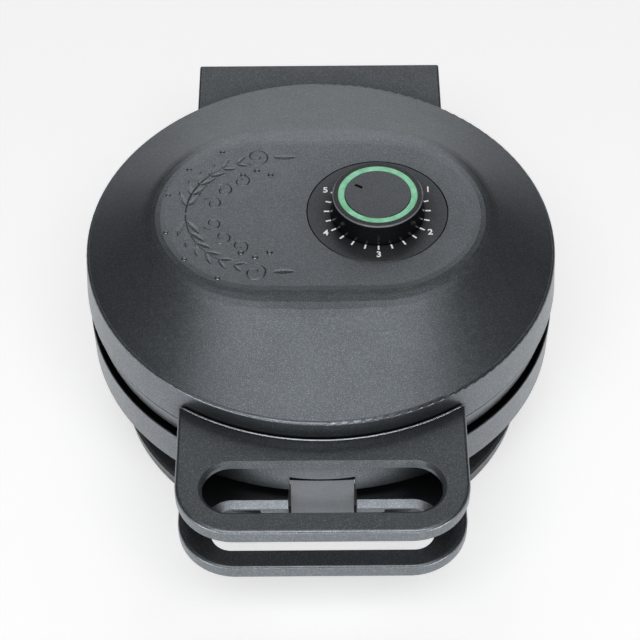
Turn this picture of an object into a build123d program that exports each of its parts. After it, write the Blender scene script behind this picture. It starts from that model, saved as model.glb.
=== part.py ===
from build123d import *

import os
from math import cos, radians, sin, sqrt

# Electric krumkake iron: a round base and a hinged domed lid, each with an engraved cast plate,
# joined by a rear hinge and clipped at the front by a latch between two loop handles.
# Frame: origin on the body's axis at the surface it stands on, +X right, +Y to the hinge, +Z up.

# ---------------------------------------------------------------- driving dimensions (mm, degrees)
# Baking plates, which set the size of the round housing
plate_radius = 101.0
plate_thickness = 7.6
plate_flange_width = 6.0
plate_flange_drop = 3.3      # baking face to flange
plate_flange = 2.8
plate_edge_slope = 0.6
face_setback = 0.5           # lower baking face below the base's rim
wafer_gap = 1.8
ledge_overlap = 3.5          # how far the ledges reach under the flanges
ledge_thickness = 2.0
groove_depth = 0.7
groove_width = 1.0
ring_groove_insets = (5.5, 13.0, 60.0, 67.0)
centre_groove_radius = 8.0
petal_count = 12
petal_inset = 37.0           # plate's edge to the petals' middle
petal_length = 40.0
petal_width = 19.0
stud_inset = 22.0
stud_radius = 3.0
leaf_start = 4.5             # centre groove to the leaves
leaf_end = 3.5               # leaves to the next groove
leaf_width = 4.0

# Housing, from the floor up
ring_proud = 1.0             # soft ring below the stand
stand_top = 30.0             # top of the foot ring's neck
bowl_height = 18.3           # stand to the foot of the base's band
base_band_height = 20.8
parting_gap = 3.0            # between base and lid
lid_ring_height = 12.7
lid_lip_height = 2.8         # lid ring's inner lip, inside the band
seam = 1.0                   # dark line between lid ring and band
lid_band_height = 21.2
dome_rise = 20.0             # rim to plateau
shell_wall = 2.5
dome_wall_inset = 1.5        # dome's inner side, in from the outer one

# Round housing
housing_margin = 17.0        # plate's edge to the lid's rim
lid_band_flare = 1.3         # how far the band's foot stands outside the rim
lid_ring_outset = 1.0        # top of the lid ring, outside the rim
lid_ring_taper = 2.8
lid_ring_wall = 2.6
base_band_outset = 0.8       # base's band, outside the rim
base_band_taper = 0.2
rim_lip = 1.0                # thin upper edge of the base's band
rim_rebate = 5.0             # how deep the band is thinned inside that edge
ledge_gusset = 3.0
neck_inset = 20.4            # rim to the stand's neck
foot_inset = 10.8            # rim to the stand's foot
foot_taper = 1.2
foot_height = 9.6
foot_shoulder = 1.4          # slope at the top of the foot
foot_slope = 3.6             # rise from the shoulder to the neck
foot_wall = 3.1
neck_draft = 1.0
soft_ring_inset = 7.0        # foot's edge to the soft ring's inner edge
soft_ring_width = 4.6
soft_ring_height = 2.6
cover_inset = 2.6            # soft ring to the cover's edge
cover_recess = 1.6
cover_sheet = 2.4
cover_seat = 4.5             # width of the seat above the cover's edge
vent_circles = (40.0, 52.0)
vent_count = 16
vent_length = 8.0
vent_width = 3.0
bowl_lip = 2.0               # rounded foot of the base's band
bowl_bulge_inset = 7.1       # bowl's fullest point, in from its edge
bowl_bulge_rise = 6.5        # and above the stand
floor_corner = 0.6
rim_round = 1.4
band_round = 0.4

# Plateau of the lid, a stadium seen from above
plateau_half_length = 82.0
plateau_half_depth = 54.0
plateau_corner_turn = 22.3   # degrees from the front, where the dome's side slopes begin on the rim
shoulder_inset = 5.0         # flat top's edge, in from the soft shoulder's middle
shoulder_start = 0.8         # share of the slope that is straight
shoulder_end = 1.12
shoulder_steps = 5
least_bow = 0.02             # the plateau's long edges are all but straight
first_share = 0.004          # the dome's lowest outline, all but round

# Heating elements
element_inset = 31.0         # plate's edge to the heating tube
element_tube = 3.2
saddle_half_width = 6.0
saddle_height = 4.0
element_play = 0.05
leg_spacing = 16.0
leg_end_inset = 7.0
leg_bend = 12.0
shield_inset = 6.0
shield_sheet = 0.8
shield_lip = 4.5
boss_outset = 14.0           # heating tube to the bosses' circle
boss_radius = 5.0
boss_length = 11.7
boss_count = 3
boss_start = 30.0
leg_room = 1.0               # cut round the element's legs
plate_screw_bite = 9.0

# Handles
handle_half_width = 68.3
handle_length = 54.5         # rim to the handles' front
handle_corner = 28.0
handle_edge_round = 1.8
handle_seam_round = 0.8      # where the upper handle's top meets the body
upper_deck_drop = 10.0       # rim to the upper handle's top
upper_deck_thickness = 8.4
upper_slot_half_length = 55.8
upper_slot_setback = 2.3     # latch's face to the upper slot
upper_bar = 12.2             # bar in front of the upper slot
upper_slot_bevel = 1.6
upper_web = 3.8              # deck behind the slot, hollow below
upper_neck_depth = 13.0      # rim to the face of the upper handle's neck
upper_neck_half_width = 52.0
lower_deck_thickness = 8.3
lower_slot_half_length = 52.5
lower_slot_setback = 6.4     # latch's face to the lower slot
lower_bar = 9.8
lower_slot_corner = 10.0
lower_bevel_run = 3.6
lower_bevel_drop = 2.1
lower_web = 3.1
lower_neck_depth = 11.5
lower_neck_half_width = 30.0
handle_screw_turn = 11.0
lower_screw_rise = 5.0
upper_screw_rise = 7.6
screw_reach = 8.0

# Latch
latch_half_width = 15.0
latch_side_gap = 0.5
notch_side_gap = 1.4         # in the lower handle
latch_plate = 2.5
latch_top_below_deck = 16.0  # top edge of the tab below the upper handle's top
latch_length = 31.0
latch_crown = 0.6
latch_edge_round = 0.8
latch_open_angle = 20.0
latch_swing_room = 0.25
latch_pin_radius = 1.5
latch_pin_drop = 5.0         # below the tab's top edge
latch_pin_seat = 3.0
latch_knuckle = 3.4
hook_height = 4.0
hook_reach = 1.7
keeper_gap = 0.6
keeper_thickness = 2.0
keeper_grip = 4.2            # how far the keeper stands out of its recess
keeper_sheet = 1.5
keeper_half_width = 12.0
keeper_leg = 9.0
keeper_screw_x = 7.0
keeper_bite = 2.4
recess_depth = 9.5

# Hinge
hinge_setback = 15.5         # rim to the hinge's axis
hinge_drop = 27.5            # hinge axis below the rim
barrel_radius = 10.8
barrel_wall = 2.5
barrel_end = 6.0
barrel_gap = 1.0
hinge_side_gap = 0.5
hood_half_width = 66.5
hood_wall = 2.5
hood_boss_radius = 7.5
cheek_boss = 2.0
hood_edge_round = 1.2
cheek_boss_radius = 6.5
pin_chamfer = 0.5
hinge_pin_radius = 3.0
open_angle = 100.0
swing_clearance = 1.4
rear_box_height = 21.0
rear_box_corner = 6.0
bracket_foot = 3.0
bracket_screw_x = 50.0
bracket_screw_inset = 4.0    # in from the base's band
hood_screw_turn = 18.0

# Dial
dial_x = 28.3
dial_y = 0.8
dial_plate_radius = 35.0
dial_plate_thickness = 1.6
dial_groove = 0.35
dial_chamfer = 0.3
pad_margin = 3.0             # seat under the dial plate, past its edge
pad_rise = 0.5
knob_gap = 0.6
knob_height = 11.4
knob_base_radius = 23.5
knob_top_radius = 22.5
knob_chamfer = 0.8
knob_skirt = 4.0
knob_rim = 2.4               # width of the knob's lower edge
knob_rim_draft = 0.5
knob_hub_lift = 0.6
knob_shaft_cover = 1.1       # thickness left over the shaft's end
light_outer = 19.6
light_inner = 16.5
light_play = 0.1
pointer_angle = 150.0        # the knob is set at 5
pointer_start = 8.5
pointer_end = 13.0
pointer_width = 1.6
pointer_depth = 0.8
shaft_radius = 3.0
hub_radius = 6.5
shaft_room = 0.6
light_round = 0.5
cap_round = 0.4
knob_window_radius = 1.2
knob_window_count = 8

# Lamp board under the dial
board_inner = 13.0
board_outer = 27.0
board_sheet = 1.6
board_post = 2.0
board_post_radius = 2.0
board_post_count = 3
window_radius = 1.5
led_count = 4
led_rise = 0.5
led_round = 0.8

# Regulator and wiring
thermostat_length = 30.0
thermostat_depth = 26.0
thermostat_height = 15.0
thermostat_ear = 5.0
thermostat_ear_depth = 8.0
bushing_radius = 5.0
bushing_room = 0.5
box_chamfer = 1.0
fuse_x = -22.0
fuse_front = 40.0
fuse_chamfer = 0.8
fuse_run = 15.0              # straight stretch of lead at the fuse
tap_run = 20.0               # and at the regulator
tap_offset = 8.0
link_offset = 4.0
fuse_radius = 3.2
fuse_length = 20.0
lead_radius = 1.3
mains_lead_radius = 2.4
lead_bend = 4.0
lead_turn_reach = 8.0        # element's leg end to where the leads turn
mains_slant = 5.0
block_length = 26.0
block_depth = 14.0
block_height = 12.0
block_setback = 3.0          # edge of the floor's hole to the block
cord_hole_radius = 3.6
gland_radius = 6.8
gland_flange = 9.0
gland_lip = 2.0
gland_neck = 4.0
gland_nut_radius = 8.0
gland_chamfer = 0.8
lead_way_half_width = 10.0
lead_way_drop = 3.6          # below the gland's middle
lead_way_rise = 4.4
lead_way_depth = 9.0         # into the base, from its band's inner wall

# Fasteners and fits
screw_shank = 1.8
screw_head = 3.4
screw_head_height = 2.0
small_shank = 1.3
small_head = 2.6
small_head_height = 1.5
cross_reach = 0.62           # cross recess, as shares of the screw's head
cross_width = 0.2
cross_depth = 0.6
post_skirt = 8.5             # lower plate's screw seats, below the shield
post_wall = 1.0
base_screw_length = 16.0
base_screw_count = 4
lid_screw_bite = 12.0
lid_post_radius = 3.2
lid_post_count = 4
clip_boss = 3.0
clip_sheet = 1.0
clip_width = 9.0
clip_length = 9.4
clip_count = 3
clip_start = 90.0
screw_overrun = 2.0          # how far small screws reach past the sheet
screw_play = 0.1
running_play = 0.05
fit_play = 0.02
part_play = 0.2              # between mouldings of one body

# ---------------------------------------------------------------- levels and places worked out
rim_radius = plate_radius + housing_margin
plate_flange_radius = plate_radius + plate_flange_width
ledge_inner_radius = plate_flange_radius - ledge_overlap
ring_grooves = [plate_radius - inset for inset in ring_groove_insets] + [centre_groove_radius]
petal_circle = plate_radius - petal_inset
stud_circle = plate_radius - stud_inset
leaf_inner = centre_groove_radius + leaf_start
leaf_outer = ring_grooves[-2] - leaf_end
element_radius = plate_radius - element_inset
leg_end = plate_radius - leg_end_inset
shield_radius = plate_radius - shield_inset
boss_circle = element_radius + boss_outset
lid_ring_radius = rim_radius + lid_ring_outset
base_band_radius = rim_radius + base_band_outset
neck_radius = rim_radius - neck_inset
foot_radius = rim_radius - foot_inset

UP = (Align.CENTER, Align.CENTER, Align.MIN)
DOWN = (Align.CENTER, Align.CENTER, Align.MAX)
FRONT = 270                  # direction of the handles, degrees
REAR = 90

base_band_foot = stand_top + bowl_height
base_top = base_band_foot + base_band_height
lid_ring_foot = base_top + parting_gap
lid_ring_top = lid_ring_foot + lid_ring_height
lid_band_foot = lid_ring_top + seam
rim_z = lid_band_foot + lid_band_height
plateau_z = rim_z + dome_rise
lid_band_radius = rim_radius + lid_band_flare

lower_face = base_top - face_setback
upper_face = lower_face + wafer_gap
lower_back = lower_face - plate_thickness
upper_back = upper_face + plate_thickness
lower_ledge = lower_face - plate_flange_drop - plate_flange
upper_ledge = upper_face + plate_flange_drop
upper_flange_top = upper_ledge + plate_flange
lower_element_z = lower_back - saddle_height
upper_element_z = upper_back + saddle_height
lower_shield_z = lower_back - boss_length
upper_shield_z = upper_back + boss_length
floor_z = stand_top + shell_wall

upper_deck = rim_z - upper_deck_drop
upper_deck_foot = upper_deck - upper_deck_thickness
lower_deck = base_top
lower_deck_foot = lower_deck - lower_deck_thickness

hinge_y = rim_radius + hinge_setback
hinge_z = rim_z - hinge_drop
hood_reach = barrel_radius + barrel_gap + hood_wall
hood_top = hinge_z + hood_reach
rear_y = hinge_y + hood_reach
hood_drop = hood_reach * (sin(radians(open_angle)) - cos(radians(open_angle)))
rear_box_top = hinge_z - hood_drop - swing_clearance
rear_box_foot = rear_box_top - rear_box_height
cheek_inner = hood_half_width - hood_wall
barrel_half_length = cheek_inner - cheek_boss - hinge_side_gap
stop_y = hinge_y + hood_reach * cos(radians(open_angle)) - swing_clearance
web_front = hinge_y - barrel_radius + part_play

handle_reach = rim_radius + handle_length
upper_neck_radius = rim_radius + upper_neck_depth
lower_neck_radius = rim_radius + lower_neck_depth
latch_face = upper_neck_radius
upper_slot_rear = latch_face + upper_slot_setback
upper_slot_front = handle_reach - upper_bar
lower_slot_rear = latch_face + lower_slot_setback
lower_slot_front = handle_reach - lower_bar

latch_top = upper_deck - latch_top_below_deck
latch_pin_y = -latch_face + latch_knuckle
latch_pin_z = latch_top - latch_pin_drop
latch_foot = latch_top - latch_length
hook_tip_y = -latch_face + latch_plate + hook_reach
keeper_front = hook_tip_y + keeper_gap
keeper_back = keeper_front + keeper_grip
keeper_z = latch_foot + hook_height + keeper_gap
recess_half_width = latch_half_width + latch_side_gap
swing_rise = latch_knuckle * sin(radians(latch_open_angle)) + latch_pin_drop * cos(radians(latch_open_angle))
recess_top = latch_pin_z + swing_rise + latch_swing_room
notch_half_width = latch_half_width + notch_side_gap
keeper_screw_z = keeper_z + keeper_leg - 1.2 * small_head

recess_floor = plateau_z - dial_plate_thickness
pad_foot = recess_floor - shell_wall
knob_foot = plateau_z + knob_gap
knob_top = knob_foot + knob_height
knob_web = knob_foot + knob_skirt
light_seat = knob_web + shell_wall
board_top = pad_foot - board_post
window_circle = (light_outer + light_inner) / 2
lid_post_circle = plate_flange_radius + part_play + lid_post_radius

foot_edge = foot_radius - foot_taper
ring_inner = foot_edge - soft_ring_inset
cover_radius = ring_inner - cover_inset
cover_z = ring_proud + cover_recess
lip_z = cover_z + cover_sheet
lip_radius = cover_radius - cover_seat
base_screw_circle = lip_radius - 1.7 * screw_head
band_inner = base_band_radius - shell_wall
bowl_edge = base_band_radius - base_band_taper - bowl_lip
floor_hole = boss_circle - 2 * boss_radius
post_head_seat = lower_shield_z - shield_sheet - post_skirt
gland_z = (rear_box_foot + rear_box_top) / 2
lower_screw_z = base_band_foot + lower_screw_rise
upper_screw_z = lid_ring_foot + upper_screw_rise
bracket_screw_y = base_band_radius - bracket_screw_inset


# ---------------------------------------------------------------- shared shapes
def blend(start, end, share):
    """Value that lies a share of the way from start to end."""
    return start + (end - start) * share


def dome_height(share):
    """Height above the rim, as a share of the rise: straight slope, then a soft shoulder."""
    shoulder = shoulder_end - shoulder_start
    slope = 1 / (shoulder_start + shoulder / 2)
    past = max(share - shoulder_start, 0)
    return slope * (min(share, shoulder_start) + past - past**2 / (2 * shoulder))


def dome_section(share, inset, height):
    """Outline of the dome between the round rim (share 0) and the plateau's stadium (share 1)."""
    turn = radians(plateau_corner_turn)
    straight_half = plateau_half_length - plateau_half_depth
    edge_radius = rim_radius - rim_round
    drawn_in = inset + shoulder_inset * max(share - 1, 0) / (shoulder_end - 1)
    share = min(share, 1)
    corner_x = blend(edge_radius * sin(turn), straight_half, share)
    corner_y = blend(edge_radius * cos(turn), plateau_half_depth, share) - drawn_in
    side_x = blend(edge_radius, plateau_half_length, share) - drawn_in
    middle_y = max(blend(edge_radius, plateau_half_depth, share) - drawn_in, corner_y + least_bow)
    with BuildSketch(Plane.XY.offset(height)) as section:
        with BuildLine():
            ThreePointArc((corner_x, -corner_y), (side_x, 0), (corner_x, corner_y))
            ThreePointArc((corner_x, corner_y), (0, middle_y), (-corner_x, corner_y))
            ThreePointArc((-corner_x, corner_y), (-side_x, 0), (-corner_x, -corner_y))
            ThreePointArc((-corner_x, -corner_y), (0, -middle_y), (corner_x, -corner_y))
        make_face()
    return section.sketch


def dome(inset, drop):
    """Solid dome from the rim to the plateau, drawn in by inset and lowered by drop."""
    with BuildPart() as body:
        add(dome_section(first_share, inset, rim_z - drop))
        for step in range(shoulder_steps + 1):
            share = blend(shoulder_start, shoulder_end, step / shoulder_steps)
            add(dome_section(share, inset, rim_z + dome_rise * dome_height(share) - drop))
        loft(ruled=True)
    return body.part


def turned(points):
    """Solid of revolution about the body's axis from a closed outline of (radius, height)."""
    with BuildPart() as body:
        with BuildSketch(Plane.XZ):
            with BuildLine():
                Polyline(*points, close=True)
            make_face()
        revolve(axis=Axis.Z)
    return body.part


def disc(radius, low, high):
    """Upright cylinder on the body's axis between two heights."""
    with BuildPart(Plane.XY.offset(low)) as body:
        Cylinder(radius, high - low, align=UP)
    return body.part


def block(x_range, y_range, z_range):
    """Box between low and high values on each axis."""
    with BuildPart() as body:
        with Locations((x_range[0], y_range[0], z_range[0])):
            Box(
                x_range[1] - x_range[0],
                y_range[1] - y_range[0],
                z_range[1] - z_range[0],
                align=(Align.MIN, Align.MIN, Align.MIN),
            )
    return body.part


def flat_seat(radius):
    """Distance from the axis at which a flat screw head touches a round inner wall."""
    return sqrt(radius**2 - screw_head**2)


def paired(radius, middle, half_turn):
    """Two places on a circle, the same turn to each side of a middle angle."""
    return PolarLocations(
        radius,
        2,
        start_angle=middle - half_turn,
        angular_range=2 * half_turn,
        endpoint=True,
    )


def pocket(half_width, y_range, top, depth):
    """Hollow cut from below under a thin stretch of a handle's deck."""
    return block((-half_width, half_width), y_range, (top - depth, top))


def screw(head_radius, head_height, shank, length):
    """Cross-headed screw whose head sits on the local plane, with its shank pointing down."""
    with BuildPart() as body:
        Cylinder(head_radius, head_height, align=UP)
        chamfer(body.edges().group_by(Axis.Z)[-1], head_height / 3)
        Cylinder(shank, length, align=DOWN)
        arm = 2 * cross_reach * head_radius
        width = 2 * cross_width * head_radius
        with Locations((0, 0, head_height)):
            for across, along in ((arm, width), (width, arm)):
                Box(across, along, 2 * cross_depth * head_height, mode=Mode.SUBTRACT)
    return body.part


def lead(points, bend, radius):
    """Round lead along straight runs joined by tangent arcs."""
    with BuildPart() as body:
        with BuildLine() as route:
            FilletPolyline(*points, radius=bend)
        with BuildSketch(Plane(origin=route.line @ 0, z_dir=route.line % 0)):
            Circle(radius)
        sweep()
    return body.part


def engraving():
    """Plan of the engraved wreath between the ring grooves: petals, leaves and studs."""
    with BuildSketch() as art:
        with PolarLocations(petal_circle, petal_count):
            Ellipse(petal_length / 2, petal_width / 2)
        with PolarLocations(petal_circle, petal_count):
            Ellipse(petal_length / 2 - groove_width, petal_width / 2 - groove_width, mode=Mode.SUBTRACT)
        with PolarLocations((leaf_inner + leaf_outer) / 2, petal_count, start_angle=180 / petal_count):
            Ellipse((leaf_outer - leaf_inner) / 2, leaf_width / 2)
        with PolarLocations(stud_circle, petal_count, start_angle=180 / petal_count):
            Circle(stud_radius)
    return art.sketch


def handle_outline(rear_radius):
    """Plan of a loop handle: rounded front corners, and a hollow rear edge round the body."""
    with BuildSketch() as plan:
        with Locations((0, -handle_reach)):
            Rectangle(2 * handle_half_width, handle_reach, align=(Align.CENTER, Align.MIN))
        fillet(plan.vertices().group_by(Axis.Y)[0], handle_corner)
        Circle(rear_radius, mode=Mode.SUBTRACT)
        Rectangle(
            2 * handle_half_width,
            sqrt(rear_radius**2 - handle_half_width**2),
            align=(Align.CENTER, Align.MAX),
            mode=Mode.SUBTRACT,
        )
    return plan.sketch


def neck_outline(rear_radius, front_radius, half_width):
    """Plan of the curved wall that joins a handle to the body."""
    with BuildSketch() as plan:
        Circle(front_radius)
        Circle(rear_radius, mode=Mode.SUBTRACT)
        with Locations((0, -front_radius)):
            Rectangle(2 * half_width, front_radius, mode=Mode.INTERSECT)
    return plan.sketch


def tab_outline(half_width, foot, top):
    """Front view of the latch, or of its recess: straight sides and a slightly sagging top edge."""
    with BuildSketch(Plane.XZ) as front:
        with BuildLine():
            Polyline((-half_width, top), (-half_width, foot), (half_width, foot), (half_width, top))
            ThreePointArc((half_width, top), (0, top - latch_crown), (-half_width, top))
        make_face()
    return front.sketch


os.makedirs("parts", exist_ok=True)

# ================================================================ base
with BuildPart() as anti_slip_ring:
    add(disc(ring_inner + soft_ring_width, 0, soft_ring_height))
    add(disc(ring_inner, 0, soft_ring_height), mode=Mode.SUBTRACT)
anti_slip_ring.part.label = "anti_slip_ring"
export_step(anti_slip_ring.part, "parts/anti_slip_ring.step")

with BuildPart() as base_stand:
    add(
        turned(
            [
                (cover_radius + part_play, ring_proud),
                (foot_edge, ring_proud),
                (foot_radius, foot_height),
                (foot_radius - foot_shoulder, foot_height + foot_shoulder),
                (neck_radius + neck_draft, foot_height + foot_shoulder + foot_slope),
                (neck_radius, stand_top),
                (neck_radius - shell_wall, stand_top),
                (neck_radius + neck_draft - shell_wall, foot_height + foot_slope),
                (foot_radius - foot_wall - foot_shoulder, foot_height),
                (foot_radius - foot_wall, foot_height - foot_shoulder),
                (foot_radius - foot_wall, lip_z + shell_wall),
                (lip_radius, lip_z + shell_wall),
                (lip_radius, lip_z),
                (cover_radius + part_play, lip_z),
            ]
        )
    )
    with BuildSketch(Plane.XY.offset(ring_proud)):
        Circle(ring_inner + soft_ring_width + fit_play)
        Circle(ring_inner - fit_play, mode=Mode.SUBTRACT)
    extrude(amount=soft_ring_height - ring_proud, mode=Mode.SUBTRACT)
base_stand.part.label = "base_stand"
export_step(base_stand.part, "parts/base_stand.step")

with BuildPart() as bottom_cover:
    add(disc(cover_radius, cover_z, lip_z))
    with Locations((0, 0, cover_z)):
        with PolarLocations(base_screw_circle, base_screw_count, start_angle=45):
            Cylinder(screw_shank + screw_play, 4 * cover_sheet, mode=Mode.SUBTRACT)
    with BuildSketch(Plane.XY.offset(cover_z)):
        for vent_circle in vent_circles:
            with PolarLocations(vent_circle, vent_count):
                SlotOverall(vent_length, vent_width)
    extrude(amount=cover_sheet, mode=Mode.SUBTRACT)
bottom_cover.part.label = "bottom_cover"
export_step(bottom_cover.part, "parts/bottom_cover.step")

with BuildPart() as base_screws:
    with Locations(Location((0, 0, cover_z), (180, 0, 0))):
        with PolarLocations(base_screw_circle, base_screw_count, start_angle=45):
            add(screw(screw_head, screw_head_height, screw_shank, base_screw_length))
base_screws.part.label = "base_screws"
export_step(base_screws.part, "parts/base_screws.step")

bowl_middle = (bowl_edge - bowl_bulge_inset, stand_top + bowl_bulge_rise)
wall_shift = shell_wall * cos(radians(45))
box_sunk = 1.0               # how far the rear box runs into the bowl's wall
sunk_radius = base_band_radius - box_sunk
sunk_neck = neck_radius - box_sunk
box_low = rear_box_foot - box_sunk
with BuildPart() as base_shell:
    # rear box that carries the hinge and the cord inlet
    with BuildSketch(Plane.XY.offset(rear_box_foot)) as box_plan:
        Rectangle(2 * hood_half_width, rear_y, align=(Align.CENTER, Align.MIN))
        fillet(box_plan.vertices().group_by(Axis.Y)[-1], rear_box_corner)
    extrude(amount=rear_box_height)
    fillet(base_shell.edges().group_by(Axis.Z)[-1].filter_by(Axis.X).sort_by(Axis.Y)[-1], band_round)
    with BuildSketch(Plane.XY.offset(rear_box_foot + shell_wall)) as box_hollow:
        Rectangle(
            2 * (hood_half_width - shell_wall),
            rear_y - shell_wall,
            align=(Align.CENTER, Align.MIN),
        )
        fillet(box_hollow.vertices().group_by(Axis.Y)[-1], rear_box_corner - shell_wall)
    extrude(amount=rear_box_height - 2 * shell_wall, mode=Mode.SUBTRACT)
    with BuildSketch(Plane.XZ):
        with BuildLine():
            Polyline((0, box_low), (0, base_top), (sunk_radius, base_top), (sunk_radius, base_band_foot))
            ThreePointArc(
                (sunk_radius, base_band_foot),
                (bowl_middle[0] - box_sunk, bowl_middle[1]),
                (sunk_neck, stand_top + box_sunk),
            )
            Polyline((sunk_neck, stand_top + box_sunk), (sunk_neck, box_low), (0, box_low))
        make_face()
    revolve(axis=Axis.Z, mode=Mode.SUBTRACT)
    # round band, bowl and the ledge that the plate's flange rests on
    with BuildSketch(Plane.XZ):
        with BuildLine():
            Line((floor_hole, stand_top), (neck_radius, stand_top))
            ThreePointArc((neck_radius, stand_top), bowl_middle, (bowl_edge, base_band_foot - bowl_lip))
            Polyline(
                (bowl_edge, base_band_foot - bowl_lip),
                (base_band_radius - base_band_taper, base_band_foot),
                (base_band_radius, base_top - band_round),
                (base_band_radius - band_round, base_top),
                (base_band_radius - rim_lip, base_top),
                (base_band_radius - rim_lip, base_top - rim_rebate),
                (band_inner, base_top - rim_rebate),
                (band_inner, lower_ledge),
                (ledge_inner_radius, lower_ledge),
                (ledge_inner_radius, lower_ledge - ledge_thickness),
                (band_inner - ledge_gusset, lower_ledge - ledge_thickness),
                (band_inner, lower_ledge - ledge_thickness - ledge_gusset),
                (band_inner, base_band_foot + bowl_lip / 2),
                (bowl_edge - shell_wall, base_band_foot - bowl_lip / 2),
            )
            ThreePointArc(
                (bowl_edge - shell_wall, base_band_foot - bowl_lip / 2),
                (bowl_middle[0] - wall_shift, bowl_middle[1] + wall_shift),
                (neck_radius - floor_corner, floor_z),
            )
            Polyline((neck_radius - floor_corner, floor_z), (floor_hole, floor_z), (floor_hole, stand_top))
        make_face()
    revolve(axis=Axis.Z)
    # posts under the plate's bosses and bosses for the cover's screws
    with Locations((0, 0, stand_top)):
        with PolarLocations(boss_circle, boss_count, start_angle=boss_start):
            Cylinder(boss_radius, lower_shield_z - shield_sheet - stand_top, align=UP)
            Cylinder(screw_shank + screw_play, 4 * boss_length, mode=Mode.SUBTRACT)
            Cylinder(
                screw_head + screw_play,
                post_head_seat - stand_top,
                align=UP,
                mode=Mode.SUBTRACT,
            )
    with Locations((0, 0, lip_z)):
        with PolarLocations(base_screw_circle, base_screw_count, start_angle=45):
            Cylinder(screw_head + post_wall, stand_top - lip_z, align=UP)
            Cylinder(
                screw_shank + screw_play,
                base_screw_length,
                align=UP,
                mode=Mode.SUBTRACT,
            )
    # way for the mains leads, the cord inlet and the screws of handle and hinge
    add(
        block(
            (-lead_way_half_width, lead_way_half_width),
            (band_inner - lead_way_depth, base_band_radius + bowl_lip),
            (gland_z - lead_way_drop, gland_z + lead_way_rise),
        ),
        mode=Mode.SUBTRACT,
    )
    with Locations(Location((0, rear_y, gland_z), (90, 0, 0))):
        Cylinder(gland_radius + fit_play, 4 * shell_wall, mode=Mode.SUBTRACT)
    with Locations((0, 0, lower_screw_z)):
        with paired(base_band_radius, FRONT, handle_screw_turn):
            Cylinder(screw_shank + screw_play, 4 * shell_wall, rotation=(0, 90, 0), mode=Mode.SUBTRACT)
    with Locations((-bracket_screw_x, bracket_screw_y, 0), (bracket_screw_x, bracket_screw_y, 0)):
        with Locations((0, 0, rear_box_top)):
            Cylinder(small_shank + screw_play, 4 * shell_wall, mode=Mode.SUBTRACT)
base_shell.part.label = "base_shell"
export_step(base_shell.part, "parts/base_shell.step")

# ---------------------------------------------------------------- lower plate and its heater
flange_z = lower_face - plate_flange_drop
with BuildPart() as lower_plate:
    outline = [(0, lower_face)]
    for radius in reversed(ring_grooves):
        outline += [
            (radius - groove_width, lower_face),
            (radius - groove_width / 2, lower_face - groove_depth),
            (radius, lower_face),
        ]
    outline += [
        (plate_radius, lower_face),
        (plate_radius + plate_edge_slope, flange_z),
        (plate_flange_radius, flange_z),
        (plate_flange_radius, lower_ledge),
        (plate_radius, lower_ledge),
        (plate_radius, lower_back),
        (element_radius + saddle_half_width, lower_back),
        (element_radius + saddle_half_width, lower_element_z),
        (element_radius - saddle_half_width, lower_element_z),
        (element_radius - saddle_half_width, lower_back),
        (0, lower_back),
    ]
    add(turned(outline))
    with BuildSketch(Plane.XZ):
        with Locations((element_radius, lower_element_z)):
            Circle(element_tube + element_play)
    revolve(axis=Axis.Z, mode=Mode.SUBTRACT)
    legs_half_width = leg_spacing / 2 + leg_bend + element_tube + leg_room
    add(
        block(
            (-legs_half_width, legs_half_width),
            (element_radius - 2 * saddle_half_width, plate_radius),
            (lower_element_z - saddle_height, lower_back),
        ),
        mode=Mode.SUBTRACT,
    )
    with Locations((0, 0, lower_shield_z)):
        with PolarLocations(boss_circle, boss_count, start_angle=boss_start):
            Cylinder(boss_radius, boss_length, align=UP)
            Cylinder(screw_shank + screw_play, plate_screw_bite, align=UP, mode=Mode.SUBTRACT)
    with BuildSketch(Plane.XY.offset(lower_face)):
        add(engraving())
    extrude(amount=-groove_depth, mode=Mode.SUBTRACT)
lower_plate.part.label = "lower_plate"
export_step(lower_plate.part, "parts/lower_plate.step")

with BuildPart() as lower_element:
    swing = element_radius + leg_bend
    leg_x = leg_spacing / 2
    bend_x = leg_x + leg_bend
    bend_y = sqrt(swing**2 - bend_x**2)
    join_x = bend_x * element_radius / swing
    join_y = bend_y * element_radius / swing
    middle_x = bend_x - leg_bend * cos(radians(45))
    middle_y = bend_y - leg_bend * sin(radians(45))
    with BuildLine(Plane.XY.offset(lower_element_z)) as element_route:
        Line((leg_x, leg_end), (leg_x, bend_y))
        ThreePointArc((leg_x, bend_y), (middle_x, middle_y), (join_x, join_y))
        ThreePointArc((join_x, join_y), (0, -element_radius), (-join_x, join_y))
        ThreePointArc((-join_x, join_y), (-middle_x, middle_y), (-leg_x, bend_y))
        Line((-leg_x, bend_y), (-leg_x, leg_end))
    with BuildSketch(Plane(origin=element_route.line @ 0, z_dir=element_route.line % 0)):
        Circle(element_tube)
    sweep()
lower_element.part.label = "lower_element"
export_step(lower_element.part, "parts/lower_element.step")

with BuildPart() as lower_shield:
    add(
        turned(
            [
                (0, lower_shield_z),
                (shield_radius - shield_sheet, lower_shield_z),
                (shield_radius - shield_sheet, lower_shield_z + shield_lip),
                (shield_radius, lower_shield_z + shield_lip),
                (shield_radius, lower_shield_z - shield_sheet),
                (0, lower_shield_z - shield_sheet),
            ]
        )
    )
    with Locations((0, 0, lower_shield_z)):
        with PolarLocations(boss_circle, boss_count, start_angle=boss_start):
            Cylinder(screw_shank + screw_play, 4 * shield_sheet, mode=Mode.SUBTRACT)
lower_shield.part.label = "lower_shield"
export_step(lower_shield.part, "parts/lower_shield.step")

with BuildPart() as lower_plate_screws:
    shank_length = lower_shield_z - post_head_seat + plate_screw_bite
    with Locations(Location((0, 0, post_head_seat), (180, 0, 0))):
        with PolarLocations(boss_circle, boss_count, start_angle=-boss_start - 360 / boss_count):
            add(screw(screw_head, screw_head_height, screw_shank, shank_length))
lower_plate_screws.part.label = "lower_plate_screws"
export_step(lower_plate_screws.part, "parts/lower_plate_screws.step")

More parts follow.
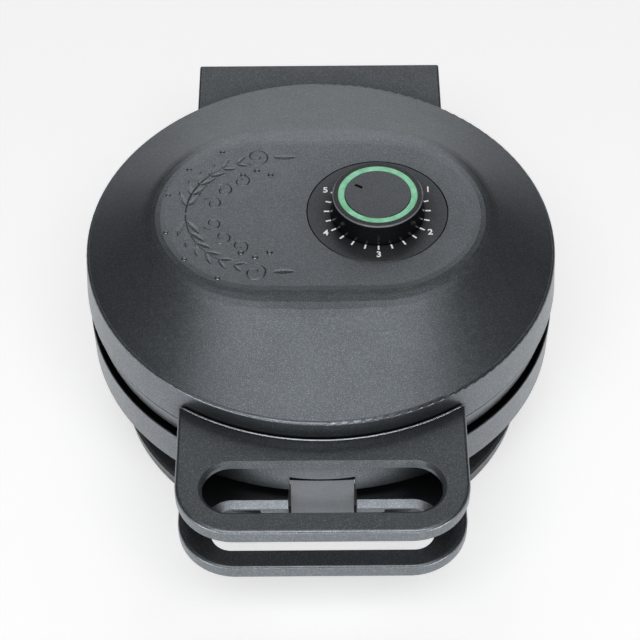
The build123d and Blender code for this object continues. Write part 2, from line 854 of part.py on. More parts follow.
# ---------------------------------------------------------------- inlet and wiring of the base
block_front = floor_hole + block_setback
block_rear = block_front + block_depth
block_mid_z = floor_z + block_height / 2
with BuildPart() as terminal_block:
    add(
        block(
            (-block_length / 2, block_length / 2),
            (block_front, block_rear),
            (floor_z, floor_z + block_height),
        )
    )
    chamfer(terminal_block.edges().group_by(Axis.Z)[-1], box_chamfer)
    with Locations((0, (block_front + block_rear) / 2, floor_z + block_height)):
        with GridLocations(block_length / 3, block_depth, 3, 1):
            Cylinder(small_head, 2 * small_head_height, mode=Mode.SUBTRACT)
terminal_block.part.label = "terminal_block"
export_step(terminal_block.part, "parts/terminal_block.step")

with BuildPart() as cord_gland:
    with Locations(Location((0, rear_y, gland_z), (-90, 0, 0))):
        Cylinder(gland_flange, gland_lip, align=UP)
        Cylinder(gland_radius, shell_wall + gland_neck, align=DOWN)
    chamfer(cord_gland.edges().group_by(Axis.Y)[-1], gland_chamfer)
    with Locations(Location((0, rear_y - shell_wall, gland_z), (-90, 0, 0))):
        Cylinder(gland_nut_radius, gland_lip, align=DOWN)
    with Locations(Location((0, rear_y, gland_z), (-90, 0, 0))):
        Cylinder(cord_hole_radius, 6 * gland_neck, mode=Mode.SUBTRACT)
cord_gland.part.label = "cord_gland"
export_step(cord_gland.part, "parts/cord_gland.step")

lead_turn_y = leg_end + lead_turn_reach
with BuildPart() as base_leads:
    for leg_x in (-leg_spacing / 2, leg_spacing / 2):
        drop = [
            (leg_x, leg_end, lower_element_z),
            (leg_x, lead_turn_y, lower_element_z),
            (leg_x, lead_turn_y, block_mid_z),
            (leg_x, block_rear, block_mid_z),
        ]
        add(lead(drop, lead_bend, lead_radius))
    mains = [
        (0, rear_y - shell_wall - gland_neck - gland_lip, gland_z),
        (0, lead_turn_y + mains_slant, gland_z),
        (0, lead_turn_y, block_mid_z),
        (0, block_rear, block_mid_z),
    ]
    add(lead(mains, lead_bend, mains_lead_radius))
base_leads.part.label = "base_leads"
export_step(base_leads.part, "parts/base_leads.step")

# ---------------------------------------------------------------- lower handle and the latch's keeper
with BuildPart() as lower_handle:
    with BuildSketch(Plane.XY.offset(lower_deck_foot)):
        add(handle_outline(base_band_radius + part_play))
    extrude(amount=lower_deck_thickness)
    rims = lower_handle.edges().filter_by(Plane.XY)
    rims = rims.filter_by(lambda edge: edge.geom_type == GeomType.LINE or edge.radius < foot_radius)
    fillet(rims, handle_edge_round)
    slot_depth = lower_slot_front - lower_slot_rear
    under_web = (-lower_slot_rear - slot_depth / 2, -floor_hole)
    add(
        pocket(lower_slot_half_length, under_web, lower_deck - lower_web, lower_deck_thickness),
        mode=Mode.SUBTRACT,
    )
    with BuildSketch(Plane.XY.offset(base_band_foot)):
        add(neck_outline(base_band_radius + part_play, lower_neck_radius, lower_neck_half_width))
    extrude(amount=lower_deck - lower_web / 2 - base_band_foot)
    with BuildSketch(Plane.XY.offset(lower_deck_foot)):
        with Locations((0, -lower_slot_rear - slot_depth / 2)):
            RectangleRounded(2 * lower_slot_half_length, slot_depth, lower_slot_corner)
    extrude(amount=lower_deck_thickness, mode=Mode.SUBTRACT)
    # bevel along the slot's rear edge and round its rear corners
    corner_x = lower_slot_half_length - lower_slot_corner
    corner_y = -lower_slot_rear - lower_slot_corner
    bevel = [
        (lower_slot_corner, lower_deck - lower_bevel_drop),
        (lower_slot_corner + lower_bevel_run, lower_deck),
        (lower_slot_corner + lower_bevel_run, lower_deck + lower_bevel_drop),
        (lower_slot_corner, lower_deck + lower_bevel_drop),
    ]
    with BuildSketch(Plane.YZ.offset(-corner_x)):
        with BuildLine():
            Polyline(*[(corner_y + out, height) for out, height in bevel], close=True)
        make_face()
    extrude(amount=2 * corner_x, mode=Mode.SUBTRACT)
    for side in (-1, 1):
        with BuildSketch(Plane.XZ.offset(-corner_y)):
            with BuildLine():
                Polyline(*[(side * (corner_x + out), height) for out, height in bevel], close=True)
            make_face()
        corner_axis = Axis((side * corner_x, corner_y, 0), (0, 0, side))
        revolve(axis=corner_axis, revolution_arc=90, mode=Mode.SUBTRACT)
    # notch that the latch hangs in
    add(
        block(
            (-notch_half_width, notch_half_width),
            (-lower_slot_rear - shell_wall, keeper_back),
            (base_band_foot - shell_wall, lower_deck + shell_wall),
        ),
        mode=Mode.SUBTRACT,
    )
    with Locations((0, 0, lower_screw_z)):
        with paired(base_band_radius, FRONT, handle_screw_turn):
            Cylinder(
                screw_shank + screw_play,
                2 * (screw_reach + screw_play),
                rotation=(0, 90, 0),
                mode=Mode.SUBTRACT,
            )
    for side in (-1, 1):
        with Locations(Location((side * keeper_screw_x, keeper_back, keeper_screw_z), (90, 0, 0))):
            Cylinder(small_shank + screw_play, 2 * keeper_bite, mode=Mode.SUBTRACT)
lower_handle.part.label = "lower_handle"
export_step(lower_handle.part, "parts/lower_handle.step")

with BuildPart() as lower_handle_screws:
    with Locations((0, 0, lower_screw_z)):
        with paired(flat_seat(band_inner), FRONT, handle_screw_turn):
            with Locations(Location((0, 0, 0), (0, -90, 0))):
                add(screw(screw_head, screw_head_height, screw_shank, shell_wall + screw_reach))
lower_handle_screws.part.label = "lower_handle_screws"
export_step(lower_handle_screws.part, "parts/lower_handle_screws.step")

with BuildPart() as latch_keeper:
    with BuildSketch(Plane.YZ.offset(-keeper_half_width)):
        with BuildLine():
            Polyline(
                (keeper_front, keeper_z),
                (keeper_back, keeper_z),
                (keeper_back, keeper_z + keeper_leg),
                (keeper_back - keeper_sheet, keeper_z + keeper_leg),
                (keeper_back - keeper_sheet, keeper_z + keeper_thickness),
                (keeper_front, keeper_z + keeper_thickness),
                close=True,
            )
        make_face()
    extrude(amount=2 * keeper_half_width)
    for side in (-1, 1):
        with Locations(Location((side * keeper_screw_x, keeper_back, keeper_screw_z), (90, 0, 0))):
            Cylinder(small_shank + screw_play, 4 * keeper_sheet, mode=Mode.SUBTRACT)
latch_keeper.part.label = "latch_keeper"
export_step(latch_keeper.part, "parts/latch_keeper.step")

with BuildPart() as keeper_screws:
    for side in (-1, 1):
        head_place = (side * keeper_screw_x, keeper_back - keeper_sheet, keeper_screw_z)
        with Locations(Location(head_place, (90, 0, 0))):
            add(screw(small_head, small_head_height, small_shank, keeper_sheet + keeper_bite - screw_play))
keeper_screws.part.label = "keeper_screws"
export_step(keeper_screws.part, "parts/keeper_screws.step")

# ---------------------------------------------------------------- hinge bracket and pin on the base
with BuildPart() as hinge_bracket:
    with BuildSketch(Plane.YZ):
        with Locations((hinge_y, hinge_z)):
            Circle(barrel_radius)
        with Locations((web_front, rear_box_top)):
            Rectangle(stop_y - web_front, hinge_z - rear_box_top, align=(Align.MIN, Align.MIN))
        with Locations((neck_radius, rear_box_top)):
            Rectangle(stop_y - neck_radius, bracket_foot, align=(Align.MIN, Align.MIN))
    extrude(amount=barrel_half_length, both=True)
    add(
        disc(base_band_radius + part_play, rear_box_foot, rear_box_top + 2 * bracket_foot),
        mode=Mode.SUBTRACT,
    )
    with Locations((0, hinge_y, hinge_z)):
        Cylinder(
            barrel_radius - barrel_wall,
            2 * (barrel_half_length - barrel_end),
            rotation=(0, 90, 0),
            mode=Mode.SUBTRACT,
        )
        Cylinder(
            hinge_pin_radius + fit_play,
            3 * barrel_half_length,
            rotation=(0, 90, 0),
            mode=Mode.SUBTRACT,
        )
    with Locations((-bracket_screw_x, bracket_screw_y, 0), (bracket_screw_x, bracket_screw_y, 0)):
        with Locations((0, 0, rear_box_top)):
            Cylinder(small_shank + screw_play, 4 * bracket_foot, mode=Mode.SUBTRACT)
hinge_bracket.part.label = "hinge_bracket"
export_step(hinge_bracket.part, "parts/hinge_bracket.step")

with BuildPart() as bracket_screws:
    with Locations((-bracket_screw_x, bracket_screw_y, 0), (bracket_screw_x, bracket_screw_y, 0)):
        with Locations((0, 0, rear_box_top + bracket_foot)):
            add(screw(small_head, small_head_height, small_shank, bracket_foot + shell_wall + screw_overrun))
bracket_screws.part.label = "bracket_screws"
export_step(bracket_screws.part, "parts/bracket_screws.step")

with BuildPart() as hinge_pin:
    with Locations((0, hinge_y, hinge_z)):
        Cylinder(hinge_pin_radius, 2 * (hood_half_width - part_play), rotation=(0, 90, 0))
    chamfer(hinge_pin.edges().filter_by(GeomType.CIRCLE), pin_chamfer)
hinge_pin.part.label = "hinge_pin"
export_step(hinge_pin.part, "parts/hinge_pin.step")

# ================================================================ lid
ring_wall_inner = lid_ring_radius - lid_ring_taper - lid_ring_wall
lip_outer = lid_band_radius - shell_wall - 2 * part_play
lip_top = lid_ring_top + lid_lip_height
ring_hole_length = 2 * (lid_ring_radius - ring_wall_inner)
with BuildPart() as lid_ring:
    add(
        turned(
            [
                (ledge_inner_radius, upper_ledge - ledge_thickness),
                (ring_wall_inner - part_play, upper_ledge - ledge_thickness),
                (ring_wall_inner, lid_ring_foot),
                (lid_ring_radius - lid_ring_taper, lid_ring_foot),
                (lid_ring_radius, lid_ring_top),
                (lip_outer, lid_ring_top),
                (lip_outer, lip_top),
                (ring_wall_inner, lip_top),
                (ring_wall_inner, upper_ledge),
                (ledge_inner_radius, upper_ledge),
            ]
        )
    )
    with Locations((0, 0, upper_ledge)):
        with PolarLocations(lid_post_circle, clip_count, start_angle=clip_start):
            Cylinder(clip_boss, plate_flange, align=UP)
            Cylinder(small_shank + screw_play, 3 * plate_flange, mode=Mode.SUBTRACT)
        with PolarLocations(lid_post_circle, lid_post_count, start_angle=45):
            Cylinder(small_shank + screw_play, 4 * ledge_thickness, mode=Mode.SUBTRACT)
    with Locations((0, 0, upper_screw_z)):
        for middle, half_turn in ((FRONT, handle_screw_turn), (REAR, hood_screw_turn)):
            with paired(lid_ring_radius, middle, half_turn):
                Cylinder(screw_shank + screw_play, ring_hole_length, rotation=(0, 90, 0), mode=Mode.SUBTRACT)
lid_ring.part.label = "lid_ring"
export_step(lid_ring.part, "parts/lid_ring.step")

pad_radius = dial_plate_radius + pad_margin
board_post_circle = board_outer - 1.2 * board_post_radius
corner_share = 1 - cos(radians(45))
with BuildPart() as lid_outer:
    with BuildSketch(Plane.XZ):
        with BuildLine():
            Polyline(
                (0, rim_z),
                (0, lid_band_foot),
                (lid_band_radius, lid_band_foot),
                (rim_radius, rim_z - rim_round),
            )
            ThreePointArc(
                (rim_radius, rim_z - rim_round),
                (rim_radius - corner_share * rim_round, rim_z - corner_share * rim_round),
                (rim_radius - rim_round, rim_z),
            )
            Line((rim_radius - rim_round, rim_z), (0, rim_z))
        make_face()
    revolve(axis=Axis.Z)
    add(dome(inset=0, drop=0))

with BuildPart() as tall_posts:
    with Locations((0, 0, upper_ledge)):
        with PolarLocations(lid_post_circle, lid_post_count, start_angle=45):
            Cylinder(lid_post_radius, plateau_z - upper_ledge, align=UP)

with BuildPart() as lid_posts:
    add(lid_outer.part)
    add(disc(ring_wall_inner, upper_ledge, lid_band_foot))
    add(tall_posts.part, mode=Mode.INTERSECT)

with BuildPart() as lid_shell:
    add(lid_outer.part)
    add(
        turned(
            [
                (0, lid_ring_top),
                (lid_band_radius - shell_wall, lid_ring_top),
                (rim_radius - rim_round - dome_wall_inset, rim_z - shell_wall),
                (0, rim_z - shell_wall),
            ]
        ),
        mode=Mode.SUBTRACT,
    )
    add(dome(inset=dome_wall_inset, drop=shell_wall), mode=Mode.SUBTRACT)
    add(lid_posts.part)
    with Locations((0, 0, upper_ledge)):
        with PolarLocations(lid_post_circle, lid_post_count, start_angle=45):
            Cylinder(small_shank + screw_play, lid_screw_bite, align=UP, mode=Mode.SUBTRACT)
    with Locations((dial_x, dial_y, pad_foot)):
        Cylinder(pad_radius, shell_wall + pad_rise, align=UP)
        Cylinder(bushing_radius + bushing_room, 4 * shell_wall, align=UP, mode=Mode.SUBTRACT)
        with PolarLocations(window_circle, led_count, start_angle=45):
            Cylinder(window_radius, 4 * shell_wall, align=UP, mode=Mode.SUBTRACT)
        with PolarLocations(board_post_circle, board_post_count):
            Cylinder(board_post_radius, board_post, align=DOWN)
    with Locations((dial_x, dial_y, recess_floor)):
        Cylinder(dial_plate_radius + dial_groove, 2 * shell_wall, align=UP, mode=Mode.SUBTRACT)
lid_shell.part.label = "lid_shell"
export_step(lid_shell.part, "parts/lid_shell.step")

with BuildPart() as lid_screws:
    with Locations(Location((0, 0, upper_ledge - ledge_thickness), (180, 0, 0))):
        with PolarLocations(lid_post_circle, lid_post_count, start_angle=45):
            add(screw(small_head, small_head_height, small_shank, lid_screw_bite))
lid_screws.part.label = "lid_screws"
export_step(lid_screws.part, "parts/lid_screws.step")

# ---------------------------------------------------------------- upper plate and its heater
between_plates = Plane.XY.offset((lower_face + upper_face) / 2)
with BuildPart() as upper_plate:
    mirror(lower_plate.part, about=between_plates)
upper_plate.part.label = "upper_plate"
export_step(upper_plate.part, "parts/upper_plate.step")

with BuildPart() as plate_clips:
    with Locations((0, 0, upper_flange_top)):
        with PolarLocations(lid_post_circle, clip_count, start_angle=clip_start):
            with Locations((clip_boss, 0, 0)):
                Box(clip_length, clip_width, clip_sheet, align=(Align.MAX, Align.CENTER, Align.MIN))
            Cylinder(small_shank + screw_play, 4 * clip_sheet, mode=Mode.SUBTRACT)
plate_clips.part.label = "plate_clips"
export_step(plate_clips.part, "parts/plate_clips.step")

with BuildPart() as clip_screws:
    with Locations((0, 0, upper_flange_top + clip_sheet)):
        with PolarLocations(lid_post_circle, clip_count, start_angle=clip_start):
            add(screw(small_head, small_head_height, small_shank, plate_flange + clip_sheet))
clip_screws.part.label = "clip_screws"
export_step(clip_screws.part, "parts/clip_screws.step")

with BuildPart() as upper_element:
    mirror(lower_element.part, about=between_plates)
upper_element.part.label = "upper_element"
export_step(upper_element.part, "parts/upper_element.step")

thermostat_hole = thermostat_length / 2 + 0.6 * thermostat_ear
with BuildPart() as upper_shield:
    mirror(lower_shield.part, about=between_plates)
    with Locations((dial_x, dial_y, upper_shield_z)):
        with GridLocations(2 * thermostat_hole, 1, 2, 1):
            Cylinder(small_shank + screw_play, 4 * shield_sheet, mode=Mode.SUBTRACT)
upper_shield.part.label = "upper_shield"
export_step(upper_shield.part, "parts/upper_shield.step")

with BuildPart() as shield_screws:
    with Locations((0, 0, upper_shield_z + shield_sheet)):
        with PolarLocations(boss_circle, boss_count, start_angle=boss_start):
            add(screw(screw_head, screw_head_height, screw_shank, shield_sheet + plate_screw_bite))
shield_screws.part.label = "shield_screws"
export_step(shield_screws.part, "parts/shield_screws.step")

# ---------------------------------------------------------------- regulator, lamp board and lid wiring
thermostat_seat = upper_shield_z + shield_sheet
shaft_foot = thermostat_seat + thermostat_height / 2
with BuildPart() as thermostat:
    with Locations((dial_x, dial_y, thermostat_seat)):
        Box(thermostat_length, thermostat_depth, thermostat_height, align=UP)
        chamfer(thermostat.edges().group_by(Axis.Z)[-1], box_chamfer)
        Box(2 * thermostat_hole + thermostat_ear, thermostat_ear_depth, clip_sheet, align=UP)
        Cylinder(bushing_radius, recess_floor - thermostat_seat, align=UP)
        with GridLocations(2 * thermostat_hole, 1, 2, 1):
            Cylinder(small_shank + screw_play, 4 * clip_sheet, mode=Mode.SUBTRACT)
    with Locations((dial_x, dial_y, shaft_foot)):
        Cylinder(
            shaft_radius + running_play,
            plateau_z - shaft_foot,
            align=UP,
            mode=Mode.SUBTRACT,
        )
thermostat.part.label = "thermostat"
export_step(thermostat.part, "parts/thermostat.step")

with BuildPart() as thermostat_screws:
    with Locations((dial_x, dial_y, thermostat_seat + clip_sheet)):
        with GridLocations(2 * thermostat_hole, 1, 2, 1):
            add(screw(small_head, small_head_height, small_shank, clip_sheet + shield_sheet + screw_overrun))
thermostat_screws.part.label = "thermostat_screws"
export_step(thermostat_screws.part, "parts/thermostat_screws.step")

with BuildPart() as light_board:
    with Locations((dial_x, dial_y, board_top)):
        Cylinder(board_outer, board_sheet, align=DOWN)
        Cylinder(board_inner, 4 * board_sheet, mode=Mode.SUBTRACT)
light_board.part.label = "light_board"
export_step(light_board.part, "parts/light_board.step")

with BuildPart() as board_leds:
    with Locations((dial_x, dial_y, board_top)):
        with PolarLocations(window_circle, led_count, start_angle=45):
            Cylinder(window_radius - part_play, board_post + led_rise, align=UP)
    fillet(board_leds.edges().group_by(Axis.Z)[-1], led_round)
board_leds.part.label = "board_leds"
export_step(board_leds.part, "parts/board_leds.step")

fuse_z = thermostat_seat + fuse_radius
with BuildPart() as thermal_fuse:
    with Locations(Location((fuse_x, fuse_front, fuse_z), (-90, 0, 0))):
        Cylinder(fuse_radius, fuse_length, align=UP)
    chamfer(thermal_fuse.edges().filter_by(GeomType.CIRCLE), fuse_chamfer)
thermal_fuse.part.label = "thermal_fuse"
export_step(thermal_fuse.part, "parts/thermal_fuse.step")

tap_z = thermostat_seat + thermostat_height / 2
tap_x = dial_x - tap_offset
link_y = dial_y + link_offset
tap_y = dial_y + thermostat_depth / 2
side_x = dial_x - thermostat_length / 2
with BuildPart() as lid_leads:
    to_thermostat = [
        (leg_spacing / 2, leg_end, upper_element_z),
        (leg_spacing / 2, lead_turn_y, upper_element_z),
        (leg_spacing / 2, lead_turn_y, tap_z),
        (tap_x, tap_y + tap_run, tap_z),
        (tap_x, tap_y, tap_z),
    ]
    add(lead(to_thermostat, lead_bend, lead_radius))
    to_fuse = [
        (-leg_spacing / 2, leg_end, upper_element_z),
        (-leg_spacing / 2, lead_turn_y, upper_element_z),
        (-leg_spacing / 2, lead_turn_y, fuse_z),
        (fuse_x, fuse_front + fuse_length + fuse_run, fuse_z),
        (fuse_x, fuse_front + fuse_length, fuse_z),
    ]
    add(lead(to_fuse, lead_bend, lead_radius))
    fuse_to_thermostat = [
        (fuse_x, fuse_front, fuse_z),
        (fuse_x, link_y, fuse_z),
        (side_x, link_y, fuse_z),
    ]
    add(lead(fuse_to_thermostat, lead_bend, lead_radius))
lid_leads.part.label = "lid_leads"
export_step(lid_leads.part, "parts/lid_leads.step")

# ---------------------------------------------------------------- dial
with BuildPart() as dial_plate:
    with Locations((dial_x, dial_y, recess_floor)):
        Cylinder(dial_plate_radius, dial_plate_thickness, align=UP)
        chamfer(dial_plate.edges().group_by(Axis.Z)[-1], dial_chamfer)
        Cylinder(shaft_radius + shaft_room, 4 * dial_plate_thickness, mode=Mode.SUBTRACT)
        with PolarLocations(window_circle, led_count, start_angle=45):
            Cylinder(window_radius, 4 * dial_plate_thickness, mode=Mode.SUBTRACT)
dial_plate.part.label = "dial_plate"
export_step(dial_plate.part, "parts/dial_plate.step")

shaft_top = light_seat - knob_shaft_cover
bore_radius = shaft_radius + fit_play
with BuildPart() as dial_knob:
    with Locations((dial_x, dial_y, 0)):
        add(
            turned(
                [
                    (bore_radius, knob_foot + knob_hub_lift),
                    (hub_radius, knob_foot + knob_hub_lift),
                    (hub_radius, knob_web),
                    (knob_base_radius - knob_rim - knob_rim_draft, knob_web),
                    (knob_base_radius - knob_rim, knob_foot),
                    (knob_base_radius, knob_foot),
                    (knob_top_radius, knob_top - knob_chamfer),
                    (knob_top_radius - knob_chamfer, knob_top),
                    (light_outer + light_play, knob_top),
                    (light_outer + light_play, light_seat),
                    (0, light_seat),
                    (0, shaft_top + fit_play),
                    (bore_radius, shaft_top + fit_play),
                ]
            )
        )
    with Locations((dial_x, dial_y, knob_web)):
        with PolarLocations(window_circle, knob_window_count):
            Cylinder(knob_window_radius, 4 * shell_wall, mode=Mode.SUBTRACT)
dial_knob.part.label = "dial_knob"
export_step(dial_knob.part, "parts/dial_knob.step")

with BuildPart() as knob_light_ring:
    with Locations((dial_x, dial_y, light_seat)):
        Cylinder(light_outer, knob_top - light_seat, align=UP)
        Cylinder(light_inner, knob_top - light_seat, align=UP, mode=Mode.SUBTRACT)
    fillet(knob_light_ring.edges().group_by(Axis.Z)[-1], light_round)
knob_light_ring.part.label = "knob_light_ring"
export_step(knob_light_ring.part, "parts/knob_light_ring.step")

with BuildPart() as knob_cap:
    with Locations((dial_x, dial_y, light_seat)):
        Cylinder(light_inner - light_play, knob_top - light_seat, align=UP)
        fillet(knob_cap.edges().group_by(Axis.Z)[-1], cap_round)
    with BuildSketch(Plane.XY.offset(knob_top)):
        with Locations(Location((dial_x, dial_y, 0), pointer_angle)):
            with Locations(((pointer_start + pointer_end) / 2, 0)):
                SlotOverall(pointer_end - pointer_start, pointer_width)
    extrude(amount=-pointer_depth, mode=Mode.SUBTRACT)
knob_cap.part.label = "knob_cap"
export_step(knob_cap.part, "parts/knob_cap.step")

with BuildPart() as thermostat_shaft:
    with Locations((dial_x, dial_y, shaft_foot + part_play)):
        Cylinder(shaft_radius, shaft_top - shaft_foot - part_play, align=UP)
    chamfer(thermostat_shaft.edges().group_by(Axis.Z)[-1], pin_chamfer)
thermostat_shaft.part.label = "thermostat_shaft"
export_step(thermostat_shaft.part, "parts/thermostat_shaft.step")

# ---------------------------------------------------------------- upper handle and latch
with BuildPart() as upper_handle:
    with BuildSketch(Plane.XY.offset(upper_deck_foot)):
        add(handle_outline(lid_band_radius + part_play))
    extrude(amount=upper_deck_thickness)
    rims = upper_handle.edges().filter_by(Plane.XY)
    rims = rims.filter_by(lambda edge: edge.geom_type == GeomType.LINE or edge.radius < foot_radius)
    fillet(rims, handle_edge_round)
    arcs = upper_handle.edges().filter_by(Plane.XY).filter_by(GeomType.CIRCLE)
    fillet(arcs.group_by(SortBy.RADIUS)[-1].sort_by(Axis.Z)[-1], handle_seam_round)
    slot_depth = upper_slot_front - upper_slot_rear
    with BuildSketch(Plane.XY.offset(upper_deck_foot)):
        with Locations((0, -upper_slot_rear - slot_depth / 2)):
            SlotOverall(2 * upper_slot_half_length, slot_depth)
    extrude(amount=upper_deck_thickness, mode=Mode.SUBTRACT)
    mouth = upper_handle.edges().group_by(Axis.Z)[-1]
    mouth = mouth.filter_by(
        lambda edge: abs(edge.center().Y + upper_slot_rear + slot_depth / 2) < slot_depth
    )
    mouth = mouth.filter_by(lambda edge: abs(edge.center().X) < upper_slot_half_length)
    chamfer(mouth.filter_by(lambda edge: edge.center().Y < -upper_neck_radius), upper_slot_bevel)
    under_web = (-upper_slot_rear - slot_depth / 2, -floor_hole)
    add(
        pocket(upper_slot_half_length, under_web, upper_deck - upper_web, upper_deck_thickness),
        mode=Mode.SUBTRACT,
    )
    with BuildSketch(Plane.XY.offset(lid_ring_top)):
        add(neck_outline(lid_band_radius + part_play, upper_neck_radius, upper_neck_half_width))
    extrude(amount=upper_deck - upper_web / 2 - lid_ring_top)
    with BuildSketch(Plane.XY.offset(lid_ring_foot + part_play)):
        add(neck_outline(lid_ring_radius + part_play, upper_neck_radius, upper_neck_half_width))
    extrude(amount=lid_ring_top - lid_ring_foot - part_play)
    with BuildSketch(Plane.XZ.offset(upper_neck_radius + shell_wall)):
        add(tab_outline(recess_half_width, lid_ring_foot - shell_wall, recess_top))
    extrude(amount=-recess_depth - shell_wall, mode=Mode.SUBTRACT)
    with Locations((0, latch_pin_y, latch_pin_z)):
        Cylinder(
            latch_pin_radius + fit_play,
            2 * (recess_half_width + latch_pin_seat),
            rotation=(0, 90, 0),
            mode=Mode.SUBTRACT,
        )
    with Locations((0, 0, upper_screw_z)):
        with paired(lid_ring_radius, FRONT, handle_screw_turn):
            Cylinder(
                screw_shank + screw_play,
                2 * (screw_reach + screw_play),
                rotation=(0, 90, 0),
                mode=Mode.SUBTRACT,
            )
upper_handle.part.label = "upper_handle"
export_step(upper_handle.part, "parts/upper_handle.step")

with BuildPart() as upper_handle_screws:
    with Locations((0, 0, upper_screw_z)):
        with paired(flat_seat(ring_wall_inner), FRONT, handle_screw_turn):
            with Locations(Location((0, 0, 0), (0, -90, 0))):
                reach = lid_ring_radius - ring_wall_inner + screw_reach
                add(screw(screw_head, screw_head_height, screw_shank, reach))
upper_handle_screws.part.label = "upper_handle_screws"
export_step(upper_handle_screws.part, "parts/upper_handle_screws.step")

with BuildPart() as latch_pin:
    with Locations((0, latch_pin_y, latch_pin_z)):
        Cylinder(latch_pin_radius, 2 * (recess_half_width + latch_pin_seat - part_play), rotation=(0, 90, 0))
latch_pin.part.label = "latch_pin"
export_step(latch_pin.part, "parts/latch_pin.step")

with BuildPart() as latch:
    with BuildSketch(Plane.XZ.offset(latch_face)):
        add(tab_outline(latch_half_width, latch_foot, latch_top))
    extrude(amount=-latch_plate)
    fillet(latch.edges().group_by(Axis.Y)[0].sort_by(Axis.Z)[0], latch_edge_round)
    with Locations((0, latch_pin_y, latch_pin_z)):
        Cylinder(latch_knuckle, 2 * latch_half_width, rotation=(0, 90, 0))
    add(
        block(
            (-keeper_half_width, keeper_half_width),
            (-latch_face + latch_plate / 2, hook_tip_y),
            (latch_foot, latch_foot + hook_height),
        )
    )
    with Locations((0, latch_pin_y, latch_pin_z)):
        Cylinder(
            latch_pin_radius + running_play,
            3 * latch_half_width,
            rotation=(0, 90, 0),
            mode=Mode.SUBTRACT,
        )
latch.part.label = "latch"
export_step(latch.part, "parts/latch.step")

# ---------------------------------------------------------------- hinge hood on the lid
hood_front = sqrt(lid_ring_radius**2 - hood_half_width**2) - hood_wall
hood_foot = hinge_z - hood_boss_radius
flange_radius = lid_band_radius + part_play + hood_wall
with BuildPart() as hood_hollow:
    add(
        block(
            (-cheek_inner, cheek_inner),
            (hood_front - hood_wall, rear_y - hood_wall),
            (hood_foot - hood_wall, hood_top - hood_wall),
        )
    )
    add(disc(flange_radius, hood_foot - 2 * hood_wall, hood_top), mode=Mode.SUBTRACT)

with BuildPart() as hinge_hood:
    with BuildSketch(Plane.YZ):
        with BuildLine():
            Polyline(
                (hood_front, hood_foot),
                (hinge_y, hood_foot),
                (rear_y, hinge_z),
                (rear_y, hood_top),
                (hood_front, hood_top),
                close=True,
            )
        make_face()
    extrude(amount=hood_half_width, both=True)
    crown = hinge_hood.edges().group_by(Axis.Z)[-1]
    upright = hinge_hood.edges().filter_by(Axis.Z).group_by(Axis.Y)[-1]
    fillet(crown.sort_by(Axis.Y)[1:] + upright, hood_edge_round)
    add(hood_hollow.part, mode=Mode.SUBTRACT)
    add(disc(lid_ring_radius + part_play, hood_foot - hood_wall, lid_ring_top), mode=Mode.SUBTRACT)
    add(disc(lid_band_radius + part_play, lid_ring_top, hood_top + hood_wall), mode=Mode.SUBTRACT)
    for side in (-1, 1):
        with Locations((side * (cheek_inner - cheek_boss / 2), hinge_y, hinge_z)):
            Cylinder(cheek_boss_radius, cheek_boss, rotation=(0, 90, 0))
    with Locations((0, hinge_y, hinge_z)):
        Cylinder(
            hinge_pin_radius + running_play,
            3 * hood_half_width,
            rotation=(0, 90, 0),
            mode=Mode.SUBTRACT,
        )
    with Locations((0, 0, upper_screw_z)):
        with paired(lid_ring_radius, REAR, hood_screw_turn):
            Cylinder(screw_shank + screw_play, ring_hole_length, rotation=(0, 90, 0), mode=Mode.SUBTRACT)
hinge_hood.part.label = "hinge_hood"
export_step(hinge_hood.part, "parts/hinge_hood.step")

with BuildPart() as hood_screws:
    with Locations((0, 0, upper_screw_z)):
        with paired(flat_seat(ring_wall_inner), REAR, hood_screw_turn):
            with Locations(Location((0, 0, 0), (0, -90, 0))):
                add(screw(screw_head, screw_head_height, screw_shank, flange_radius - ring_wall_inner))
hood_screws.part.label = "hood_screws"
export_step(hood_screws.part, "parts/hood_screws.step")
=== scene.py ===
"""Looks of an electric krumkake iron: finishes, dial print, relief and seam bead, light and camera.

Metres, +Z up, in the part's own frame: +X right, +Y to the hinge.
"""

from math import atan2, cos, pi, radians, sin

import bmesh
import bpy
from mathutils import Euler, Matrix, Vector


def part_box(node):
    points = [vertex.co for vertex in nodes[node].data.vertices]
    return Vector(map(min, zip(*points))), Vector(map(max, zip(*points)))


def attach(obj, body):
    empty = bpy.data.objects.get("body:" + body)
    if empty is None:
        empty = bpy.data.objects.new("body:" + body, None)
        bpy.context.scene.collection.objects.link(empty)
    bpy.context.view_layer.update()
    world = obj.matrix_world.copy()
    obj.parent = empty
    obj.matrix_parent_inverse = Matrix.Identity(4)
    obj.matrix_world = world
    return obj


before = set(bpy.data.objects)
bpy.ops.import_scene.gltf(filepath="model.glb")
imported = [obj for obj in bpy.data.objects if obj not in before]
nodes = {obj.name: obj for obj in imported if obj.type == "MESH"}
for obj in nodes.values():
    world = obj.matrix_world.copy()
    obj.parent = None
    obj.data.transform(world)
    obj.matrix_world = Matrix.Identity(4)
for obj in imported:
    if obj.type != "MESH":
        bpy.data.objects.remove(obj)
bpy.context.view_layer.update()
MM = 0.001

# ---------------------------------------------------------------- camera
FRAME_PIXELS = 640
FOCAL_PIXELS = 2000
SENSOR_MM = 36.0
CAMERA_PLACE = Vector((-0.0006, -0.69652, 0.8381))
CAMERA_DOWN = 48.669         # degrees below the horizon
CAMERA_ROLL = -0.41          # degrees about its own line of sight

lens = bpy.data.cameras.new("camera")
lens.sensor_width = SENSOR_MM
lens.lens = SENSOR_MM * FOCAL_PIXELS / FRAME_PIXELS
lens.clip_start = 0.01
camera = bpy.data.objects.new("camera", lens)
camera.location = CAMERA_PLACE
tilt = Euler((radians(90 - CAMERA_DOWN), 0, 0)).to_matrix()
camera.rotation_euler = (tilt @ Matrix.Rotation(radians(CAMERA_ROLL), 3, "Z")).to_euler()
bpy.context.scene.collection.objects.link(camera)
bpy.context.scene.camera = camera


